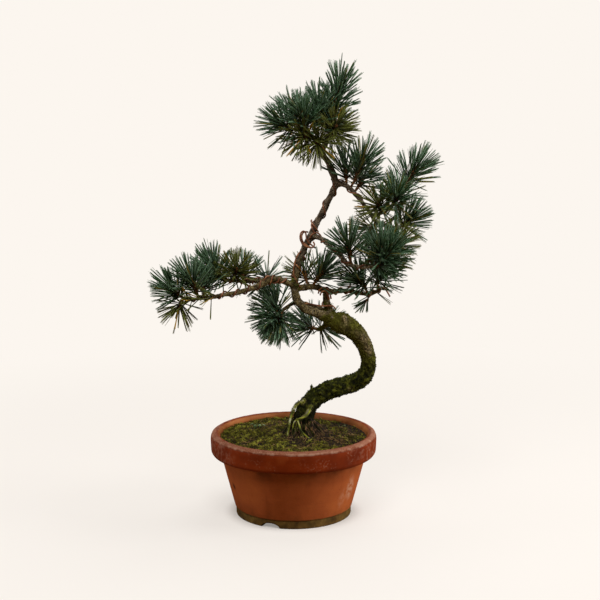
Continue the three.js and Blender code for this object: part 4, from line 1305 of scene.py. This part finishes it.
@dataclass
class Wood:
    """Trunk, branches and surface roots: one skin over the limbs, with plated bark and moss."""

    voxel: float = 0.85
    smoothing: int = 3
    coarse_plates: float = 6.0
    fine_plates: float = 3.0
    live_roots: tuple[float, ...] = (0.65, 0.65, 0.6, 0.3, 0.3)  # how green the first roots are
    tufts: int = 8200
    moss_from: float = 0.35  # how mossy the bark is where tufts start
    thick_limb: tuple[float, float] = (4.5, 9)  # the radii between which the plates grow coarse
    relief: tuple[float, float] = (0.15, 0.11)  # the bark's depth: at least, and more for each mm of radius
    root_relief: float = 0.2
    root_sunk: float = 0.5
    lump_size: float = 9.0
    lump_depth: tuple[float, float] = (1.3, 0.17)  # at most, and for each mm of radius
    soil_top: float = 104.0
    # Bright roots that stand clear of the trunk's foot: x, y, z and radius along each.
    bright_roots: tuple[tuple[Point, ...], ...] = (
        (
            (12, -6, 145, 1.1), (5, -9, 142.5, 1.5), (0, -12, 135, 1.5), (-3.5, -14.5, 125, 1.4),
            (-5.5, -16.5, 113, 1.3), (-8, -17.5, 101, 1.3), (-9, -18, 94, 1.2),
        ),
        (
            (23, -9, 141, 0.9), (21.5, -11, 137, 1.3), (18, -14.5, 130.5, 1.3), (12, -17, 126.6, 1.3),
            (6, -18, 125, 1.2), (1, -18, 121, 0.9), (-1, -19, 112, 0.8), (-2, -21, 100, 0.8),
            (-2.5, -22, 95, 0.7),
        ),
        (
            (4, -18, 126, 0.9), (7, -19.5, 118, 1.1), (9.5, -21.5, 111, 1.2), (15.5, -24, 105, 1.1),
            (22, -26, 100, 1), (27, -28, 96, 0.9),
        ),
        ((3, -15, 117, 0.6), (1, -20, 107, 0.7), (2, -25, 99, 0.7), (3, -27, 95, 0.6)),
    )
    # Where moss gathers above the trunk's bend: x, y, z and reach.
    moss_spots: tuple[tuple[float, float, float, float], ...] = (
        (-3, -11, 297, 9), (41, 3, 268, 8), (52, -3, 258, 12), (8, -6, 300, 5), (25, 1, 355, 6),
        (52, -16, 338, 8), (60, 3, 286, 8), (40, 4, 263, 9), (72, 2, 244, 16), (40, -9, 249, 10),
    )

    def __post_init__(self) -> None:
        """Marks the limbs' middles, to tell how thick the wood is at a place."""
        self.marks = [(place, radius, -1) for route in LIMBS.values() for place, radius in route.line(6)]
        for i, points in enumerate(ROOTS):
            self.marks += [(place, radius, i) for place, radius in Route(points).line(5)]
        self.tree = KDTree(len(self.marks))
        for i, (place, _, _) in enumerate(self.marks):
            self.tree.insert(place, i)
        self.tree.balance()

    def _blank(self) -> bpy.types.Mesh:
        """The limbs, roots and burls joined in one smooth skin."""
        lines = [route.line(5) for route in LIMBS.values()]
        lines += [Route(points).line(5) for points in (*ROOTS, CUT_STUB)]
        mesh = bars("wood_blank", lines, 8)
        bm = bmesh.new()
        bm.from_mesh(mesh)
        for x, y, z, radius in BURLS:
            place = Matrix.Translation(Vector((x, y, z)) * MM)
            bmesh.ops.create_icosphere(bm, subdivisions=3, radius=radius * MM, matrix=place)
        bm.to_mesh(mesh)
        bm.free()
        blank = object_of("wood_blank", mesh)
        skin = blank.modifiers.new("skin", "REMESH")
        skin.mode = "VOXEL"
        skin.voxel_size = self.voxel * MM
        return baked(blank)

    def _plates(self, place: Vector, size: float) -> tuple[float, float]:
        """The height of the bark's plates and the depth of the cracks between them, each from 0 to 1."""
        warped = (place + wander(place / size * 0.8) * 0.55 * size) / size
        distances, middles = noise.voronoi(warped)
        crack = 1 - smooth(distances[1] - distances[0], 0.02, 0.24)
        return 0.5 + 0.5 * noise.cell(middles[0] * 7.3), crack

    def moss(self, place: Vector, normal: Vector) -> float:
        """How mossy the bark is at a place, from 0 to 1."""
        patches = noise.fractal(place / 17, 1, 2, 3)
        low = 0.95 * smooth(place.z, 270, 240)
        bare = 0.5 * smooth(place.z, 186, 212) * smooth(normal.x - 0.3 * normal.y, -0.2, 0.8)
        spots = max(1 - (place - Vector((x, y, z))).length / reach for x, y, z, reach in self.moss_spots)
        return smooth(low - bare + max(0.0, spots) * 0.9 + 0.42 * patches + 0.2 * normal.z, 0.25, 0.75)

    def build(self, moss: MossTufts) -> bpy.types.Object:
        """Makes the wood and the moss on it.

        Args:
            moss: Grows the moss.

        Returns:
            The finished wood.
        """
        bm = bmesh_of(self._blank())
        every_way = {"use_axis_x": True, "use_axis_y": True, "use_axis_z": True}
        for _ in range(self.smoothing):
            bmesh.ops.smooth_vert(bm, verts=bm.verts, factor=0.5, **every_way)
        bm.normal_update()
        cracks, mosses, live, dark = (bm.verts.layers.float.new(n) for n in ("crack", "moss", "root", "dark"))
        spots: list[tuple[float, Vector, Vector]] = []
        for vertex in bm.verts:
            place, normal = vertex.co.copy(), vertex.normal.copy()
            _, nearest, distance = self.tree.find(place)
            _, radius, root = self.marks[nearest]
            thick = smooth(radius, *self.thick_limb)
            coarse, coarse_crack = self._plates(place, self.coarse_plates)
            fine, fine_crack = self._plates(place, self.fine_plates)
            crack = mixed(fine_crack * 0.8, max(coarse_crack, 0.5 * fine_crack), thick)
            plate = mixed(fine, 0.7 * coarse + 0.3 * fine, thick)
            depth = self.root_relief if root >= 0 else min(1.0, self.relief[0] + self.relief[1] * radius)
            lumps = noise.fractal(place / self.lump_size, 1, 2, 4)
            lumps *= min(self.lump_depth[0], self.lump_depth[1] * radius)
            sunk = self.root_sunk if root >= 0 else 0
            vertex.co += normal * (lumps + depth * (0.7 * plate - 0.8 * crack) - sunk)
            green = self.moss(place, normal)
            vertex[cracks] = crack * (0.2 if root >= 0 else 1)
            vertex[mosses] = green * (1 - 0.6 * smooth(distance / radius, 1.6, 1.2) * (root >= 0))
            lively = self.live_roots[root] if 0 <= root < len(self.live_roots) else 0.0
            lively *= smooth(distance / radius, 1.3, 1.05)
            vertex[live] = lively * smooth(noise.noise(place / 12), -0.5, 0.2)
            # Painted shade at the trunk's foot, between the roots: marked for the bark to darken.
            foot = smooth(place.z - 0.3 * place.x, 135, 122) * smooth(noise.noise(place / 5), -0.6, 0.1)
            vertex[dark] = 0.92 * foot * (1 - lively)
            if green > self.moss_from and place.z > self.soil_top:
                rank = (noise.cell(vertex.co * 9) + 1) / green
                spots.append((rank, vertex.co - normal * 0.3, (normal + UP * 0.5).normalized()))
        wood = dressed("bark_and_wood", mesh_from("bark_and_wood", bm), Slot.BARK, Bark(), nodes=["wood"])
        routes = [Route(root).line(6) for root in self.bright_roots]
        thinned = [[(place, radius * 0.85) for place, radius in route] for route in routes]
        # The bright roots' palest tone is a painted highlight; the rest is their own green.
        greens = Speckled("bright_root", 8.0, "2a2f0a", "62671a", "9a9c34", "cccba4")
        dressed("bright_roots", bars("bright_roots", thinned, 2), Slot.BARK, greens)
        chosen = [(foot, up) for _, foot, up in sorted(spots, key=lambda spot: spot[0])[: self.tufts]]
        moss.grow("trunk_moss", chosen, 1.3, Slot.BARK)
        return wood


# ---------------------------------------------------------------- wire


@dataclass
class TrainingWires:
    """Copper wires wound along the limbs, and their loose ends."""

    radius: float = 1.0
    off_bark: float = -0.05
    steps_per_turn: int = 16
    stations: int = 400  # how finely a limb's length is measured
    closing_turns: float = 1.6  # how many turns it takes a wire that stands off to lie close

    def _helix(
        self, slices: Sequence[tuple[str, int, int]], pitch: float, phase: float, stand_off: float
    ) -> list[Vector]:
        """The middle of a wire that is wound along slices of the limbs."""
        path = Route(tuple(point for name, first, last in slices for point in LIMBS[name].part(first, last)))
        places = [path.place(i / self.stations) for i in range(self.stations + 1)]
        lengths = [0.0]
        for a, b in zip(places, places[1:]):
            lengths.append(lengths[-1] + (b - a).length)
        turns = lengths[-1] / pitch
        across = Vector((0, 1, 0))
        middle: list[Vector] = []
        station = 0
        count = round(turns * self.steps_per_turn)
        for i in range(count + 1):
            share = i / count
            while station < self.stations - 1 and lengths[station + 1] < share * lengths[-1]:
                station += 1
            within = (share * lengths[-1] - lengths[station]) / (lengths[station + 1] - lengths[station])
            t = (station + within) / self.stations
            tangent = path.heading(t)
            across = (across - tangent * across.dot(tangent)).normalized()
            angle = 2 * math.pi * (phase + turns * share)
            slack = stand_off * max(0.0, 1 - turns * share / self.closing_turns)
            reach = path.radius(t) + self.radius + self.off_bark + slack
            side = across * math.cos(angle) + across.cross(tangent) * math.sin(angle)
            middle.append(path.place(t) + side * reach)
        return middle

    def _wire(self, name: str, middle: Sequence[Vector], finish: Copper) -> bpy.types.Object:
        """A round wire along its middle, which may stand for the CAD wire of its name."""
        line = Route(tuple((*place, self.radius) for place in middle)).line(2)
        nodes = [name] if name in WOUND else []
        return dressed(f"{name}_copper", bars(name, [line], 2), Slot.COPPER, finish, nodes=nodes)

    def build(self) -> None:
        """Winds all the wires."""
        finish = Copper()
        for name, (*winding, end) in WOUND.items():
            self._wire(name, self._helix(*winding) + [Vector(p) for p in end], finish)
        for name, points in LOOSE.items():
            self._wire(name, [Vector(p) for p in points], finish)


# ---------------------------------------------------------------- foliage


@dataclass(frozen=True)
class Age:
    """How needles stand and look at an age. Angles are degrees from the shoot."""

    foot_angle: float
    tip_angle: float
    jitter: float
    length: float
    droop: float
    bare: float  # the share of stem and shoot that bears no needles
    stem: float  # the stem's radius where it leaves the limb
    slot: Slot


AGES = {
    "young": Age(72, 18, 11, 1.0, 0.02, 0.26, 1.5, Slot.YOUNG),
    "old": Age(92, 30, 14, 0.9, 0.06, 0.26, 1.5, Slot.OLD),
    "hanging": Age(46, 16, 10, 0.5, 0.0, 0.05, 0.7, Slot.YOUNG),
}


@dataclass
class Bundles:
    """Bundles of five needles from one sheath, pointing along +Z, in millimetres."""

    length: float = 37.0
    radius: float = 0.36
    needles: int = 5
    spread: float = 0.5
    offset: float = 0.22  # how far a needle's foot stands from the bundle's middle
    stray: tuple[float, float] = (0.13, 4.5)  # how many lean away from their bundle, and how far
    variants: int = 16
    seed: int = 5

    def _needle(self) -> bpy.types.Mesh:
        """One straight three-sided needle that stands on the origin, with one flat back."""
        bm = bmesh.new()
        pale = bm.faces.layers.float.new("pale")
        bm.faces.layers.float.new("tint")
        along = bm.verts.layers.float.new("along")
        bmesh.ops.create_cone(bm, cap_ends=True, segments=3, radius1=1, radius2=1, depth=self.length)
        sides = [e for e in bm.edges if abs(e.verts[0].co.z - e.verts[1].co.z) > 1]
        bmesh.ops.subdivide_edges(bm, edges=sides, cuts=3)
        bmesh.ops.translate(bm, vec=(0, 0, self.length / 2), verts=bm.verts)
        backs = sorted((f for f in bm.faces if abs(f.normal.z) < 0.5), key=lambda f: f.normal.x)
        for face in bm.faces:
            face[pale] = 1.0
        for face in backs[-4:]:
            face[pale] = 0.0
        for vertex in bm.verts:
            share = vertex.co.z / self.length
            foot, tip = mixed(0.8, 1.0, smooth(share, 0, 0.3)), mixed(1, 0.55, smooth(share, 0.94, 1))
            thick = self.radius * foot * tip
            vertex.co.x *= thick
            vertex.co.y *= thick
            vertex[along] = share
        return kept("needle", bm)

    def meshes(self) -> list[bpy.types.Mesh]:
        """Makes the bundles.

        Returns:
            One mesh for each variant, with the needles in material 0 and the sheath in material 1.
        """
        draw = random.Random(self.seed)
        needle = self._needle()
        made = []
        for _ in range(self.variants):
            bm = bmesh.new()
            common = draw.random()
            for k in range(self.needles):
                first = len(bm.verts)
                first_face = len(bm.faces)
                bm.from_mesh(needle)
                bm.verts.ensure_lookup_table()
                bm.faces.ensure_lookup_table()
                tint = bm.faces.layers.float["tint"]
                shade = 0.75 * common + 0.25 * draw.random()
                for face in bm.faces[first_face:]:
                    face[tint] = shade
                share_stray, lean_stray = self.stray
                lean = self.spread * draw.uniform(0.4, 1.4)
                lean += lean_stray if draw.random() < share_stray else 0
                out = math.tan(math.radians(lean))
                bend = draw.uniform(-0.01, 0.02)
                size = draw.uniform(0.95, 1.02)
                for vertex in bm.verts[first:]:
                    share = vertex.co.z / self.length
                    vertex.co.z *= size
                    vertex.co.x += self.offset + vertex.co.z * out + self.length * bend * share**2
                turn = Matrix.Rotation(2 * math.pi * (k + draw.uniform(-0.2, 0.2)) / self.needles, 4, "Z")
                bmesh.ops.transform(bm, matrix=turn, verts=bm.verts[first:])
            sheath = Matrix.Translation((0, 0, 0.8))
            cone = {"segments": 5, "radius1": 0.9, "radius2": 0.7, "depth": 2.6}
            capped = bmesh.ops.create_cone(bm, cap_ends=True, matrix=sheath, **cone)
            for face in {f for v in capped["verts"] for f in v.link_faces}:
                face.material_index = 1
            made.append(kept("bundle", bm))
        bpy.data.meshes.remove(needle)
        return made


@dataclass
class Spray:
    """A shoot with its bundles of needles, set round it by the golden angle."""

    name: str
    limb: str
    base: Vector
    tip: Vector
    age: Age
    rings: int
    bundles_per_ring: float = 7.6
    tries: int = 6
    buried: float = 9.0  # how far below the shoot its stem meets the limb
    clear_from: float = 5.0  # the part of a bundle that must pass the wood
    clear_length: float = 34.0

    def _route(self) -> Route:
        """The stem from the limb and the shoot that it bears."""
        along = (self.tip - self.base).normalized()
        wanted = self.base - along * self.buried
        places = [LIMBS[self.limb].place(i / 120) for i in range(121)]
        foot = min(places, key=lambda place: (place - wanted).length)
        middle = self.base.lerp(self.tip, 0.5)
        stem = self.age.stem
        thicknesses = (stem, stem * 1.2, stem * 1.1, stem * 0.9)
        return Route(tuple((*p, thick) for p, thick in zip((foot, self.base, middle, self.tip), thicknesses)))

    def _direction(self, axis: Vector, outward: Vector, share: float, draw: random.Random) -> Vector:
        """A direction for the bundle at a share of the leafy length."""
        opening = mixed(self.age.foot_angle, self.age.tip_angle, share**0.8)
        lean = math.radians(opening + self.age.jitter * draw.uniform(-1.3, 1.3))
        direction = axis * math.cos(lean) + outward * math.sin(lean)
        return (direction - UP * self.age.droop).normalized()

    def grow(self, bundles: Sequence[bpy.types.Mesh], wood: BVHTree) -> bpy.types.Mesh:
        """Grows the spray. Each bundle has draws of its own, so that none depends on how another fared.

        Args:
            bundles: The variants to draw bundles from.
            wood: The wood's surface in millimetres, which the needles pass.

        Returns:
            The spray's mesh, with needles in material 0 and bark in material 1.
        """
        route = self._route()
        count = round(self.rings * self.bundles_per_ring)
        bm = bmesh.new()
        across = (self.tip - self.base).orthogonal().normalized()
        for i in range(count):
            draw = random.Random(f"{self.name} {i}")
            share = (i + 0.5) / count
            t = mixed(self.age.bare, 1, share)
            axis = route.heading(t)
            flat = (across - axis * across.dot(axis)).normalized()
            outward = Quaternion(axis, i * GOLDEN_TURN + draw.uniform(-0.25, 0.25)) @ flat
            foot = route.place(t) + outward * (route.radius(t) * 0.8)
            for _ in range(self.tries):
                direction = self._direction(axis, outward, share, draw)
                if wood.ray_cast(foot + direction * self.clear_from, direction, self.clear_length)[0] is None:
                    break
            else:
                continue
            size = self.age.length * draw.uniform(0.84, 1.03)
            spin = Matrix.Rotation(draw.uniform(0, 2 * math.pi), 4, "Z")
            shape = turned(direction) @ spin @ Matrix.Diagonal((1, 1, size, 1))
            stamp(bm, draw.choice(bundles), Matrix.Translation(foot) @ shape)
        self._bud(bm, route)
        shoot = bars("shoot", [route.line(8)], 2)
        shoot.transform(Matrix.Scale(1 / MM, 4))
        first = len(bm.faces)
        bm.from_mesh(shoot)
        bpy.data.meshes.remove(shoot)
        bm.faces.ensure_lookup_table()
        for face in bm.faces[first:]:
            face.material_index = 1
        return mesh_from(self.name, bm, soft=False)

    def _bud(self, bm: bmesh.types.BMesh, route: Route) -> None:
        """Adds the resting bud at the shoot's end."""
        stretch = Matrix.Diagonal((1.3, 1.3, 3.6, 1))
        place = Matrix.Translation(route.place(1)) @ turned(route.heading(1)) @ stretch
        made = bmesh.ops.create_icosphere(bm, subdivisions=2, radius=1, matrix=place)
        for face in {f for v in made["verts"] for f in v.link_faces}:
            face.material_index = 1


@dataclass
class LooseBundles:
    """Older bundles of needles that stand straight on the limbs, between the sprays."""

    # Limb, the shares of its length between which they stand, how many, the way they lean and their length.
    stretches: tuple[tuple[str, float, float, int, Vector, float], ...] = (
        ("left", 0.68, 0.98, 15, Vector((-0.4, -0.5, -0.2)), 0.72),
        ("left", 0.7, 0.96, 18, Vector((-0.3, -0.8, 0.5)), 0.8),
        ("left_back", 0.45, 0.95, 12, Vector((0, -0.4, 0.5)), 0.75),
        ("low", 0.72, 0.97, 9, Vector((0.3, -0.2, 0.7)), 0.7),
        ("mid", 0.62, 0.97, 14, Vector((0.2, -0.3, 0.4)), 0.75),
        ("right", 0.5, 0.95, 14, Vector((0.2, -0.4, 0.3)), 0.75),
        ("right_upper", 0.15, 0.8, 12, Vector((0.1, -0.5, 0.4)), 0.75),
        ("crown", 0.5, 0.95, 12, Vector((-0.2, -0.4, 0.2)), 0.75),
        ("crown_right", 0.2, 0.9, 10, Vector((0.3, -0.3, 0.2)), 0.75),
        ("trunk", 0.63, 0.7, 4, Vector((0, 0, 3)), 0.22),
    )
    lean: tuple[float, float] = (45, 80)

    def grow(self, bundles: Sequence[bpy.types.Mesh], draw: random.Random) -> bpy.types.Mesh:
        """Grows them.

        Args:
            bundles: The variants to draw bundles from.
            draw: Seeded draws.

        Returns:
            Their mesh, with needles in material 0 and sheaths in material 1.
        """
        bm = bmesh.new()
        for name, first, last, count, bias, length in self.stretches:
            limb = LIMBS[name]
            for _ in range(count):
                t = draw.uniform(first, last)
                axis = limb.heading(t)
                loose = Vector([draw.gauss(0, 0.4) for _ in range(3)]) + bias
                outward = (loose - axis * loose.dot(axis)).normalized()
                lean = math.radians(draw.uniform(*self.lean))
                direction = axis * math.cos(lean) + outward * math.sin(lean)
                size = Matrix.Diagonal((1, 1, length * draw.uniform(0.85, 1.1), 1))
                foot = Matrix.Translation(limb.place(t) + outward * limb.radius(t) * 0.8)
                stamp(bm, draw.choice(bundles), foot @ turned(direction) @ size)
        return mesh_from("loose_bundles", bm, soft=False)


@dataclass
class Foliage:
    """All the needles."""

    seed: int = 5309

    def build(self, wood: bpy.types.Object) -> None:
        """Grows every spray.

        Args:
            wood: The finished wood, which the needles pass.
        """
        bundles = Bundles().meshes()
        shoots = ShootBark()
        skins = {
            Slot.YOUNG: NeedleSkin("young_needles", "081907", "264a20", "86a586", "8c7a2a", 0.955),
            Slot.OLD: NeedleSkin("old_needles", "151903", "54570f", "8a924c", "b88c2c", 0.91),
        }
        bm = bmesh_of(wood.data)
        surface = BVHTree.FromBMesh(bm)
        bm.free()
        for name, limb, base, tip, rings, age in SPRAYS:
            spray = Spray(name, limb, Vector(base), Vector(tip), AGES[age], rings)
            slot = spray.age.slot
            mesh = spray.grow(bundles, surface)
            dressed(f"{name}_needles", mesh, slot, skins[slot], shoots, nodes=[f"spray_{name}"])
        loose = LooseBundles().grow(bundles, random.Random(self.seed))
        dressed("loose_bundles", loose, Slot.OLD, skins[Slot.OLD], shoots)
        for mesh in bundles:
            bpy.data.meshes.remove(mesh)


# ---------------------------------------------------------------- the whole part


def corners(box: tuple[Vector, Vector]) -> list[list[float]]:
    """A box's lowest and highest corners as plain lists."""
    return [list(corner) for corner in box]


def main() -> None:
    """Dresses the part and sets up the studio round it."""
    logging.basicConfig(level=logging.INFO, format="%(name)s %(message)s", force=True)
    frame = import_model()
    Studio().build()
    Pot().build()
    net = frame["nodes"]["drain_net"]
    net.data.materials.clear()
    net.data.materials.append(NetPlastic().material)
    SoilBed().build(MossTufts(Moss("soil_moss", "0f0c03", "453e0e", "8c8628", "d0cc54")))
    wood = Wood().build(MossTufts(Moss("trunk_moss", "0c0d03", "2a2e0b", "3f4710", "666f1c")))
    TrainingWires().build()
    Foliage().build(wood)


if __name__ == "__main__":
    main()
